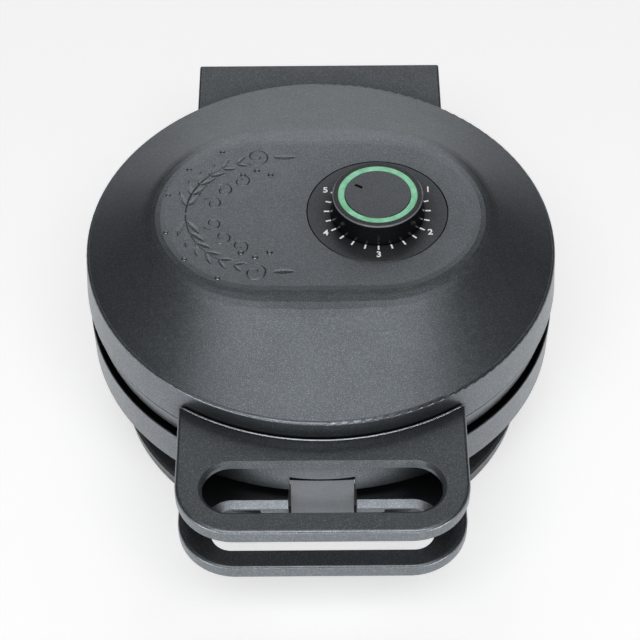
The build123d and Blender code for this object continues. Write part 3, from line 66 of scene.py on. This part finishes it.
# ---------------------------------------------------------------- procedural layers
def surface(name, color, roughness, metallic=0.0, specular=0.5):
    """New Principled material with its plain values set on the shader."""
    made = bpy.data.materials.new(name)
    made.use_nodes = True
    shader = made.node_tree.nodes["Principled BSDF"]
    shader.inputs["Base Color"].default_value = (*color, 1)
    shader.inputs["Roughness"].default_value = roughness
    shader.inputs["Metallic"].default_value = metallic
    shader.inputs["Specular IOR Level"].default_value = specular
    return made


def add_node(made, kind, **settings):
    """Node of a kind in a material, with its properties and unlinked inputs set."""
    node = made.node_tree.nodes.new(kind)
    for name, value in settings.items():
        if name in node.inputs:
            node.inputs[name].default_value = value
        else:
            setattr(node, name, value)
    return node


def link(made, source, target):
    made.node_tree.links.new(source, target)


def grain(made, size, detail=2.0, stretch=(1, 1, 1)):
    """Noise value whose features are about size metres across, stretched along the axes."""
    where = add_node(made, "ShaderNodeTexCoord")
    scale = add_node(made, "ShaderNodeMapping")
    scale.inputs["Scale"].default_value = tuple(1 / s for s in stretch)
    noise = add_node(made, "ShaderNodeTexNoise", Scale=1 / size, Detail=detail)
    link(made, where.outputs["Object"], scale.inputs["Vector"])
    link(made, scale.outputs["Vector"], noise.inputs["Vector"])
    return noise.outputs["Fac"]


def ramp(made, value, low, high, start=0.35, end=0.65):
    """Value spread between two numbers over a stretch of the input."""
    spread = add_node(made, "ShaderNodeMapRange")
    spread.inputs["From Min"].default_value = start
    spread.inputs["From Max"].default_value = end
    spread.inputs["To Min"].default_value = low
    spread.inputs["To Max"].default_value = high
    link(made, value, spread.inputs["Value"])
    return spread.outputs["Result"]


def tint(made, share, first, second):
    """Colour mixed from two by a share."""
    mixed = add_node(made, "ShaderNodeMix", data_type="RGBA")
    link(made, share, mixed.inputs["Factor"])
    for socket, color in ((mixed.inputs[6], first), (mixed.inputs[7], second)):
        if isinstance(color, bpy.types.NodeSocket):
            link(made, color, socket)
        else:
            socket.default_value = (*color, 1)
    return mixed.outputs[2]


def shader_input(made, name, value):
    link(made, value, made.node_tree.nodes["Principled BSDF"].inputs[name])


def emboss(made, height, depth):
    """Bump of a real depth in metres from a height value of 0 to 1."""
    bump = add_node(made, "ShaderNodeBump", Strength=1.0, Distance=depth)
    link(made, height, bump.inputs["Height"])
    shader_input(made, "Normal", bump.outputs["Normal"])


def object_axis(made, axis):
    """One coordinate of the surface point in the part's frame."""
    where = add_node(made, "ShaderNodeTexCoord")
    split = add_node(made, "ShaderNodeSeparateXYZ")
    link(made, where.outputs["Object"], split.inputs["Vector"])
    return split.outputs[axis]


# Painted shade: the colour is darkened near walls and in recesses, where shade falls.
PAINTED_SHADE_REACH = 28 * MM        # how far off a wall still darkens the colour
PAINTED_SHADE_SHARE = 0.12          # what is left of the colour deep in a recess


def open_air(made, reach):
    """Share of open air round a point, out to a reach: 0 deep in a recess, 1 on an open face; it sets how
    much painted shade darkens the colour.
    """
    air = add_node(made, "ShaderNodeAmbientOcclusion", Distance=reach)
    return ramp(made, air.outputs["AO"], 0.0, 1.0, 0.5, 1.0)


# ---------------------------------------------------------------- finishes
def moulded(name, dark, fleck, roughness, fleck_size=0.45 * MM, texture=0.02 * MM, metallic=0.0):
    """Spark-textured moulded plastic: fine pale flecks, soft mottling, and painted shade that darkens its
    colour in its recesses.
    """
    made = surface(name, dark, roughness, metallic)
    flecks = ramp(made, grain(made, fleck_size, 1.0), 0.0, 1.0, 0.5, 0.72)
    mottling = ramp(made, grain(made, 16 * MM, 3.0), 0.0, 0.35)
    mottled = tint(made, mottling, dark, [1.3 * c for c in dark])
    speckled = tint(made, flecks, mottled, fleck)
    # colour deep in a recess is painted shade, blended in by the share of open air
    painted_recess_shade = [PAINTED_SHADE_SHARE * c for c in dark]
    shader_input(made, "Base Color", tint(made, open_air(made, PAINTED_SHADE_REACH), painted_recess_shade, speckled))
    shader_input(made, "Roughness", ramp(made, grain(made, 2.5 * MM), roughness - 0.03, roughness + 0.03))
    emboss(made, grain(made, 0.7 * MM, 3.0), texture)
    return made


def soft_rubber(name, color):
    """Matt rubber with a dusty bloom."""
    made = surface(name, color, 0.75)
    dust = ramp(made, grain(made, 6 * MM, 4.0), 0.0, 0.5)
    shader_input(made, "Base Color", tint(made, dust, color, [1.5 * c + 0.01 for c in color]))
    emboss(made, grain(made, 0.5 * MM, 2.0), 0.04 * MM)
    return made


def rolled_metal(name, color, roughness, along, stain=None):
    """Sheet, tube or screw metal with fine drawn lines along one axis."""
    made = surface(name, color, roughness, 1.0)
    stretch = [1, 1, 1]
    stretch[along] = 30
    lines = grain(made, 0.25 * MM, 3.0, stretch)
    shader_input(made, "Roughness", ramp(made, lines, roughness - 0.08, roughness + 0.12))
    smudges = ramp(made, grain(made, 9 * MM, 3.0), 0.0, 0.6)
    shader_input(made, "Base Color", tint(made, smudges, color, stain or [0.8 * c for c in color]))
    emboss(made, lines, 0.01 * MM)
    return made


def cast_coating():
    """Non-stick coating on a casting: near black, with a fine orange peel and pale specks."""
    made = surface("non_stick", (0.022, 0.022, 0.024), 0.34)
    specks = ramp(made, grain(made, 0.5 * MM, 0.0), 0.0, 1.0, 0.66, 0.72)
    shader_input(made, "Base Color", tint(made, specks, (0.022, 0.022, 0.024), (0.12, 0.12, 0.12)))
    shader_input(made, "Roughness", ramp(made, grain(made, 12 * MM), 0.28, 0.42))
    emboss(made, grain(made, 1.6 * MM, 2.0), 0.05 * MM)
    return made


def knob_plastic(top):
    """Knob in polished black round its side, with a pale band of painted highlight just below its top edge
    and a textured grey top face.
    """
    side = (0.004, 0.004, 0.005)
    made = surface("knob_plastic", side, 0.16, specular=0.35)
    height = object_axis(made, "Z")
    on_top = ramp(made, height, 0.0, 1.0, top - 0.25 * MM, top - 0.15 * MM)
    flecks = ramp(made, grain(made, 0.45 * MM, 1.0), 0.0, 1.0, 0.5, 0.72)
    face = tint(made, flecks, (0.035, 0.037, 0.041), (0.12, 0.125, 0.135))
    # pale band just below the top edge: a painted highlight on the edge's fillet
    highlight_band = ramp(made, height, 0.0, 1.0, top - 0.8 * MM, top - 0.6 * MM)
    highlighted = tint(made, highlight_band, side, (0.20, 0.205, 0.215))
    shader_input(made, "Base Color", tint(made, on_top, highlighted, face))
    haze = ramp(made, grain(made, 1.5 * MM, 3.0), 0.13, 0.2)
    rough = add_node(made, "ShaderNodeMix", data_type="FLOAT")
    link(made, on_top, rough.inputs["Factor"])
    link(made, haze, rough.inputs["A"])
    rough.inputs["B"].default_value = 0.42
    shader_input(made, "Roughness", rough.outputs["Result"])
    return made


def lit_plastic():
    """Green light ring: clouded plastic with a glow of its own."""
    made = surface("light_ring_plastic", (0.13, 0.38, 0.22), 0.3)
    cloud = ramp(made, grain(made, 5 * MM, 2.0), 0.0, 1.0)
    glow = tint(made, cloud, (0.13, 0.36, 0.21), (0.21, 0.48, 0.32))
    shader_input(made, "Base Color", glow)
    shader_input(made, "Emission Color", glow)
    shader = made.node_tree.nodes["Principled BSDF"]
    shader.inputs["Emission Strength"].default_value = 0.65
    shader.inputs["Subsurface Weight"].default_value = 0.2
    shader.inputs["Subsurface Scale"].default_value = 1 * MM
    return made


def circuit_laminate():
    """Green lacquered laminate with copper tracks under the lacquer."""
    made = surface("laminate", (0.01, 0.09, 0.03), 0.3)
    tracks = ramp(made, grain(made, 3 * MM, 0.0, (1, 6, 1)), 0.0, 1.0, 0.5, 0.53)
    shader_input(made, "Base Color", tint(made, tracks, (0.01, 0.09, 0.03), (0.05, 0.2, 0.05)))
    return made


def white_print():
    """Pad-printed white with slightly thin patches and a faint painted glow, to stay bright on the dark dial.
    """
    made = surface("white_print", (0.8, 0.8, 0.8), 0.5)
    thin = ramp(made, grain(made, 0.6 * MM, 2.0), 0.0, 1.0, 0.35, 0.75)
    shade = tint(made, thin, (0.95, 0.95, 0.95), (0.8, 0.81, 0.82))
    shader_input(made, "Base Color", shade)
    # the print's white also glows: painted light, since print is no lamp
    shader_input(made, "Emission Color", shade)
    made.node_tree.nodes["Principled BSDF"].inputs["Emission Strength"].default_value = 0.22
    return made


HOUSING_DARK = (0.160, 0.176, 0.192)
HOUSING_FLECK = (0.335, 0.362, 0.388)
housing = moulded("speckled_housing", HOUSING_DARK, HOUSING_FLECK, 0.34, metallic=0.85)
knob_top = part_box("dial_knob")[1].z
finishes = {
    "speckled": (
        housing,
        "base_shell base_stand bottom_cover lower_handle lid_ring lid_shell upper_handle",
    ),
    "hood": (
        # housing finish at about 0.56 of its brightness: painted shade on the hinge hood
        moulded("hood_painted_shade_moulding", (0.090, 0.099, 0.108), (0.19, 0.205, 0.22), 0.36, metallic=0.85),
        "hinge_hood",
    ),
    "plain": (
        moulded("plain_moulding", (0.028, 0.029, 0.031), (0.05, 0.05, 0.053), 0.5),
        "hinge_bracket",
    ),
    "latch": (
        moulded("latch_moulding", (0.165, 0.178, 0.193), (0.25, 0.265, 0.285), 0.42, 0.3 * MM, metallic=0.4),
        "latch",
    ),
    "dial": (
        moulded("dial_moulding", (0.098, 0.107, 0.116), (0.20, 0.215, 0.23), 0.40, metallic=0.7),
        "dial_plate",
    ),
    "cap": (
        moulded("cap_moulding", (0.115, 0.124, 0.134), (0.24, 0.255, 0.27), 0.38, metallic=0.75),
        "knob_cap",
    ),
    "knob": (knob_plastic(knob_top), "dial_knob"),
    "light": (lit_plastic(), "knob_light_ring board_leds"),
    "foot": (soft_rubber("grey_rubber", (0.3, 0.305, 0.31)), "anti_slip_ring"),
    "gland": (soft_rubber("black_rubber", (0.02, 0.02, 0.021)), "cord_gland"),
    "ceramic": (soft_rubber("ceramic", (0.62, 0.58, 0.5)), "terminal_block"),
    "phenolic": (moulded("phenolic", (0.05, 0.03, 0.018), (0.09, 0.06, 0.04), 0.4), "thermostat"),
    "laminate": (circuit_laminate(), "light_board"),
    "coating": (cast_coating(), "lower_plate upper_plate"),
    "heater": (
        rolled_metal("heat_tinted_tube", (0.3, 0.27, 0.25), 0.4, 0, (0.2, 0.13, 0.1)),
        "lower_element upper_element",
    ),
    "shield": (rolled_metal("bright_sheet", (0.72, 0.72, 0.71), 0.28, 0), "lower_shield upper_shield"),
    "silicone": (soft_rubber("red_silicone", (0.35, 0.03, 0.02)), "base_leads lid_leads"),
    "can": (rolled_metal("drawn_can", (0.75, 0.75, 0.74), 0.3, 1), "thermal_fuse"),
    "plated": (rolled_metal("zinc_plate", (0.58, 0.58, 0.6), 0.32, 2), ""),
}
for node in nodes.values():
    node.data.materials.clear()
    node.data.materials.append(finishes["plated"][0])
for finish, names in finishes.values():
    for name in names.split():
        nodes[name].data.materials[0] = finish


# ---------------------------------------------------------------- dial print
def mesh_piece(name, mesh, body, finish):
    """Object for a finished mesh, riding on a body."""
    piece = bpy.data.objects.new(name, mesh)
    mesh.materials.clear()
    mesh.materials.append(finish)
    bpy.context.scene.collection.objects.link(piece)
    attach(piece, body)


dial_low, dial_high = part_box("dial_plate")
dial = Vector(((dial_low.x + dial_high.x) / 2, (dial_low.y + dial_high.y) / 2, dial_high.z))
PRINT_HEIGHT = 0.05 * MM
TICK_INNER = 23.9 * MM
TICK_OUTER = 26.6 * MM
TICK_WIDTH = 0.85 * MM
TICK_STEP = 15
NUMBER_RADIUS = 29.7 * MM
NUMBER_SIZE = 5.2 * MM
NUMBER_WEIGHT = 0.12 * MM
SCALE_START = 150            # degrees, the place of the highest number
SCALE_TICKS = 17
NUMBER_STEP = 60
printed = white_print()


def slab(shape, corners, low, high):
    """Flat closed prism over plan corners."""
    lower = [shape.verts.new((x, y, low)) for x, y in corners]
    upper = [shape.verts.new((x, y, high)) for x, y in corners]
    shape.faces.new(list(reversed(lower)))
    shape.faces.new(upper)
    for i in range(len(corners)):
        j = (i + 1) % len(corners)
        shape.faces.new((lower[i], lower[j], upper[j], upper[i]))


def polar(middle, radius, angle):
    return Vector((middle.x + radius * cos(radians(angle)), middle.y + radius * sin(radians(angle))))


ticks = bmesh.new()
for i in range(SCALE_TICKS):
    angle = SCALE_START + i * TICK_STEP
    across = Vector((-sin(radians(angle)), cos(radians(angle)))) * TICK_WIDTH / 2
    near = polar(dial, TICK_INNER, angle)
    far = polar(dial, TICK_OUTER, angle)
    slab(ticks, [near - across, far - across, far + across, near + across], dial.z, dial.z + PRINT_HEIGHT)
tick_mesh = bpy.data.meshes.new("scale_ticks")
ticks.to_mesh(tick_mesh)
ticks.free()
mesh_piece("scale_ticks", tick_mesh, "lid", printed)

for i, digit in enumerate("54321"):
    letter = bpy.data.curves.new("digit", "FONT")
    letter.body = digit
    letter.size = NUMBER_SIZE
    letter.offset = NUMBER_WEIGHT
    letter.extrude = PRINT_HEIGHT / 2
    letter.align_x = "CENTER"
    letter.align_y = "CENTER"
    shown = bpy.data.objects.new("digit", letter)
    bpy.context.scene.collection.objects.link(shown)
    middle = polar(dial, NUMBER_RADIUS, SCALE_START + i * NUMBER_STEP)
    bpy.context.view_layer.update()
    evaluated = shown.evaluated_get(bpy.context.evaluated_depsgraph_get())
    digit_mesh = bpy.data.meshes.new_from_object(evaluated)
    bpy.data.objects.remove(shown)
    for vertex in digit_mesh.vertices:
        vertex.co += Vector((middle.x, middle.y, dial.z + PRINT_HEIGHT / 2))
    mesh_piece(f"scale_number_{digit}", digit_mesh, "lid", printed)

# ---------------------------------------------------------------- relief on the lid: a vine
PLATEAU_Z = dial.z
VINE_MIDDLE = Vector((-30 * MM, 0))
VINE_RADIUS = 37 * MM
VINE_SPREAD = 78             # degrees each way from the left
RIDGE = 0.15 * MM
SUNK = 0.03 * MM
STEM_STEPS = 48
STEM_HALF_WIDTH = 0.55 * MM
LEAF_PAIRS = 6
LEAF_STEPS = 12
LEAF_START = 8               # degrees along the stem to the first pair
LEAF_STEP = 12.5
LEAF_LENGTH = 11.5           # millimetres, of the first pair
LEAF_SHRINK = 0.9            # millimetres less for each further pair
LEAF_SLIMNESS = 0.36         # width over length
LEAF_TURN = 38               # degrees off the stem
LEAF_BEND = 22
CURL_INSET = 12.5 * MM       # stem to the middles of the tendrils inside it
CURL_LAG = 4                 # degrees back along the stem
CURL_RADIUS = 5 * MM
CURL_TURNS = 1.2
CURL_WIDTH = 1.2 * MM
BERRY_OUTSET = 11 * MM       # stem to the berries outside it
BERRY_LAG = 5


def stroke(shape, line, half_widths, ridge=RIDGE):
    """Closed ridge along plan points, as wide as asked at each, coming to a point at both ends."""
    rows = []
    for i in range(1, len(line) - 1):
        ahead = (line[i + 1] - line[i - 1]).normalized()
        side = Vector((-ahead.y, ahead.x)) * half_widths[i]
        left, right = line[i] + side, line[i] - side
        rows.append(
            (
                shape.verts.new((left.x, left.y, PLATEAU_Z - SUNK)),
                shape.verts.new((line[i].x, line[i].y, PLATEAU_Z + ridge)),
                shape.verts.new((right.x, right.y, PLATEAU_Z - SUNK)),
            )
        )
    start = shape.verts.new((line[0].x, line[0].y, PLATEAU_Z - SUNK))
    end = shape.verts.new((line[-1].x, line[-1].y, PLATEAU_Z - SUNK))
    for near, far in zip(rows, rows[1:]):
        for a, b in ((0, 1), (1, 2), (2, 0)):
            shape.faces.new((near[a], near[b], far[b], far[a]))
    for a, b in ((0, 1), (1, 2), (2, 0)):
        shape.faces.new((start, rows[0][b], rows[0][a]))
        shape.faces.new((end, rows[-1][a], rows[-1][b]))


def leaf(shape, root, heading, length, width, bend):
    """Leaf with a ridged middle, from its root along a heading in degrees, curving by bend degrees."""
    line = [root.copy()]
    for i in range(LEAF_STEPS):
        turned = radians(heading + bend * i / LEAF_STEPS)
        line.append(line[-1] + Vector((cos(turned), sin(turned))) * length / LEAF_STEPS)
    widths = [width / 2 * sin(pi * (i / LEAF_STEPS) ** 0.8) for i in range(LEAF_STEPS + 1)]
    stroke(shape, line, widths)


def curl(shape, middle, radius, start, turns, width):
    """Tendril that winds in from a radius, thinning as it goes."""
    steps = int(28 * abs(turns))
    line = []
    for i in range(steps + 1):
        share = i / steps
        line.append(polar(middle, radius * (1 - 0.78 * share), start + 360 * turns * share))
    shares = [i / steps for i in range(steps + 1)]
    widths = [width / 2 * sin(pi * min(0.5, 0.08 + share)) * (1 - 0.5 * share) for share in shares]
    stroke(shape, line, widths)


def berry(shape, middle, radius):
    """Low round berry."""
    made = bmesh.ops.create_uvsphere(shape, u_segments=20, v_segments=10, radius=radius)
    for vertex in made["verts"]:
        vertex.co.z *= 0.35
        vertex.co += Vector((middle.x, middle.y, PLATEAU_Z))


vine = bmesh.new()
for side in (-1, 1):
    stem = [
        polar(VINE_MIDDLE, VINE_RADIUS, 180 + side * VINE_SPREAD * i / STEM_STEPS)
        for i in range(STEM_STEPS + 1)
    ]
    stroke(vine, stem, [STEM_HALF_WIDTH * (1 - 0.4 * i / STEM_STEPS) for i in range(STEM_STEPS + 1)])
    for pair in range(LEAF_PAIRS):
        at = 180 + side * (LEAF_START + pair * LEAF_STEP)
        root = polar(VINE_MIDDLE, VINE_RADIUS, at)
        along = at + side * 90
        length = (LEAF_LENGTH - LEAF_SHRINK * pair) * MM
        for turn in (-side, side):
            leaf(vine, root, along + turn * LEAF_TURN, length, LEAF_SLIMNESS * length, -turn * LEAF_BEND)
        if pair % 2:
            inside = polar(VINE_MIDDLE, VINE_RADIUS - CURL_INSET, at - side * CURL_LAG)
            curl(vine, inside, CURL_RADIUS, at, side * CURL_TURNS, CURL_WIDTH)
            outside = polar(VINE_MIDDLE, VINE_RADIUS + BERRY_OUTSET, at - side * BERRY_LAG)
            berry(vine, outside, 1.3 * MM)
    tip = polar(VINE_MIDDLE, VINE_RADIUS, 180 + side * VINE_SPREAD)
    curl(vine, tip + Vector((5.5 * MM, -side * 4 * MM)), 7 * MM, side * 144, -side * 1.4, 1.5 * MM)
    for reach, lift in ((17, 27), (10, 30), (3, 27)):
        spot = Vector((VINE_MIDDLE.x + (reach - 12) * MM, side * lift * MM))
        berry(vine, spot, 1.5 * MM)
    leaf(vine, Vector((-24 * MM, side * 40 * MM)), -side * 8, 13 * MM, 4.2 * MM, side * 16)
vine.normal_update()
vine_mesh = bpy.data.meshes.new("lid_vine")
bmesh.ops.recalc_face_normals(vine, faces=vine.faces)
vine.to_mesh(vine_mesh)
vine.free()
relief = moulded("relief_moulding", HOUSING_DARK, HOUSING_FLECK, 0.26, texture=0.01 * MM, metallic=0.85)
mesh_piece("lid_vine", vine_mesh, "lid", relief)

# ---------------------------------------------------------------- bead in the seam at the upper handle's back, in bright metal: a painted highlight line
grip_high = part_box("upper_handle")[1]
BEAD_RADIUS = 0.55 * MM
BEAD_STEPS = 72
BEAD_SIDES = 12
BEAD_SETBACK = 0.4 * MM      # from the handle's back arc to the bead's middle
BEAD_END = 1.5 * MM          # from the handle's side to the bead's end
BEAD_SINK = 0.35             # share of its radius below the handle's top
seam_radius = Vector((grip_high.x, grip_high.y)).length - BEAD_SETBACK
seam_half_angle = atan2(grip_high.x - BEAD_END, -grip_high.y)
bead = bmesh.new()
loops = []
for i in range(BEAD_STEPS + 1):
    angle = -pi / 2 + seam_half_angle * (2 * i / BEAD_STEPS - 1)
    loop = []
    for j in range(BEAD_SIDES):
        turn = 2 * pi * j / BEAD_SIDES
        reach = seam_radius + BEAD_RADIUS * cos(turn)
        lift = grip_high.z - BEAD_SINK * BEAD_RADIUS + BEAD_RADIUS * sin(turn)
        loop.append(bead.verts.new((reach * cos(angle), reach * sin(angle), lift)))
    loops.append(loop)
for near, far in zip(loops, loops[1:]):
    for j in range(BEAD_SIDES):
        k = (j + 1) % BEAD_SIDES
        bead.faces.new((near[j], near[k], far[k], far[j]))
bead.faces.new(loops[0])
bead.faces.new(loops[-1])
bmesh.ops.recalc_face_normals(bead, faces=bead.faces)
bead_mesh = bpy.data.meshes.new("seam_bead")
bead.to_mesh(bead_mesh)
bead.free()
for face in bead_mesh.polygons:
    face.use_smooth = True
# bright metal on the bead: a painted highlight line along the seam
seam_painted_highlight = rolled_metal("seam_painted_highlight", (0.42, 0.45, 0.48), 0.3, 0)
mesh_piece("seam_bead", bead_mesh, "lid", seam_painted_highlight)

# ---------------------------------------------------------------- floor, world and lamps
FLOOR_HALF = 4.0
floor_mesh = bpy.data.meshes.new("floor")
floor_mesh.from_pydata(
    [(x * FLOOR_HALF, y * FLOOR_HALF, 0) for x, y in ((-1, -1), (1, -1), (1, 1), (-1, 1))],
    [],
    [(0, 1, 2, 3)],
)
floor = bpy.data.objects.new("floor", floor_mesh)
bpy.context.scene.collection.objects.link(floor)

SHOWN_WHITE = 0.56           # share of the floor's white that doesn't depend on the lamps
FAR_WHITE = 0.93             # the same far off, where the lamps don't reach
FADE_START = 0.35            # metres from the middle
FADE_END = 2.6
FLOOR_PAINT = 0.72
floor_finish = bpy.data.materials.new("white_floor")
floor_finish.use_nodes = True
tree = floor_finish.node_tree
tree.nodes.clear()
output = tree.nodes.new("ShaderNodeOutputMaterial")
paint = tree.nodes.new("ShaderNodeBsdfDiffuse")
paint.inputs["Color"].default_value = (FLOOR_PAINT, FLOOR_PAINT, FLOOR_PAINT, 1)
shine = tree.nodes.new("ShaderNodeEmission")
spot = tree.nodes.new("ShaderNodeNewGeometry")
away = tree.nodes.new("ShaderNodeVectorMath")
away.operation = "LENGTH"
fade = tree.nodes.new("ShaderNodeMapRange")
fade.interpolation_type = "SMOOTHSTEP"
fade.inputs["From Min"].default_value = FADE_START
fade.inputs["From Max"].default_value = FADE_END
fade.inputs["To Min"].default_value = SHOWN_WHITE
fade.inputs["To Max"].default_value = FAR_WHITE
tree.links.new(spot.outputs["Position"], away.inputs[0])
tree.links.new(away.outputs["Value"], fade.inputs["Value"])
tree.links.new(fade.outputs["Result"], shine.inputs["Strength"])
path = tree.nodes.new("ShaderNodeLightPath")
seen = tree.nodes.new("ShaderNodeMath")
seen.operation = "MAXIMUM"
tree.links.new(path.outputs["Is Camera Ray"], seen.inputs[0])
tree.links.new(path.outputs["Is Glossy Ray"], seen.inputs[1])
dark = tree.nodes.new("ShaderNodeEmission")
dark.inputs["Strength"].default_value = 0.0
choice = tree.nodes.new("ShaderNodeMixShader")
both = tree.nodes.new("ShaderNodeAddShader")
tree.links.new(seen.outputs[0], choice.inputs["Fac"])
tree.links.new(dark.outputs[0], choice.inputs[1])
tree.links.new(shine.outputs[0], choice.inputs[2])
tree.links.new(paint.outputs[0], both.inputs[0])
tree.links.new(choice.outputs[0], both.inputs[1])
tree.links.new(both.outputs[0], output.inputs["Surface"])
floor_mesh.materials.append(floor_finish)

AMBIENT = 0.035
world = bpy.data.worlds.new("studio")
bpy.context.scene.world = world
world.use_nodes = True
air = world.node_tree
air.nodes.clear()
air_output = air.nodes.new("ShaderNodeOutputWorld")
room = air.nodes.new("ShaderNodeBackground")
room.inputs["Strength"].default_value = AMBIENT
backdrop = air.nodes.new("ShaderNodeBackground")
backdrop.inputs["Color"].default_value = (1, 1, 1, 1)
air_path = air.nodes.new("ShaderNodeLightPath")
air_choice = air.nodes.new("ShaderNodeMixShader")
air.links.new(air_path.outputs["Is Camera Ray"], air_choice.inputs["Fac"])
air.links.new(room.outputs[0], air_choice.inputs[1])
air.links.new(backdrop.outputs[0], air_choice.inputs[2])
air.links.new(air_choice.outputs[0], air_output.inputs["Surface"])


def softbox(name, place, aim, size, brightness):
    """Area lamp at a place, facing a point, with a brightness seen on its face."""
    lamp = bpy.data.lights.new(name, "AREA")
    lamp.shape = "RECTANGLE"
    lamp.size, lamp.size_y = size
    lamp.energy = brightness * pi * size[0] * size[1]
    made = bpy.data.objects.new(name, lamp)
    made.location = place
    made.rotation_euler = (Vector(aim) - Vector(place)).to_track_quat("-Z", "Y").to_euler()
    bpy.context.scene.collection.objects.link(made)


softbox("overhead", (0, 0.02, 1.5), (0, 0, 0), (1.3, 0.5), 1.1)
softbox("back_wall", (0, 1.5, 0.92), (0, 0, 0.1), (1.1, 1.4), 0.92)
softbox("front", (0, -1.0, 1.6), (0, 0, 0.1), (1.6, 0.6), 4.6)
softbox("front_low", (0, -1.8, 0.4), (0, 0, 0.1), (1.6, 0.3), 4.5)
softbox("front_left", (-1.2, -1.3, 0.16), (0, 0, 0.08), (1.0, 0.3), 8.0)
softbox("front_right", (1.2, -1.3, 0.16), (0, 0, 0.08), (1.0, 0.3), 8.0)

bpy.context.scene.view_settings.view_transform = "Standard"
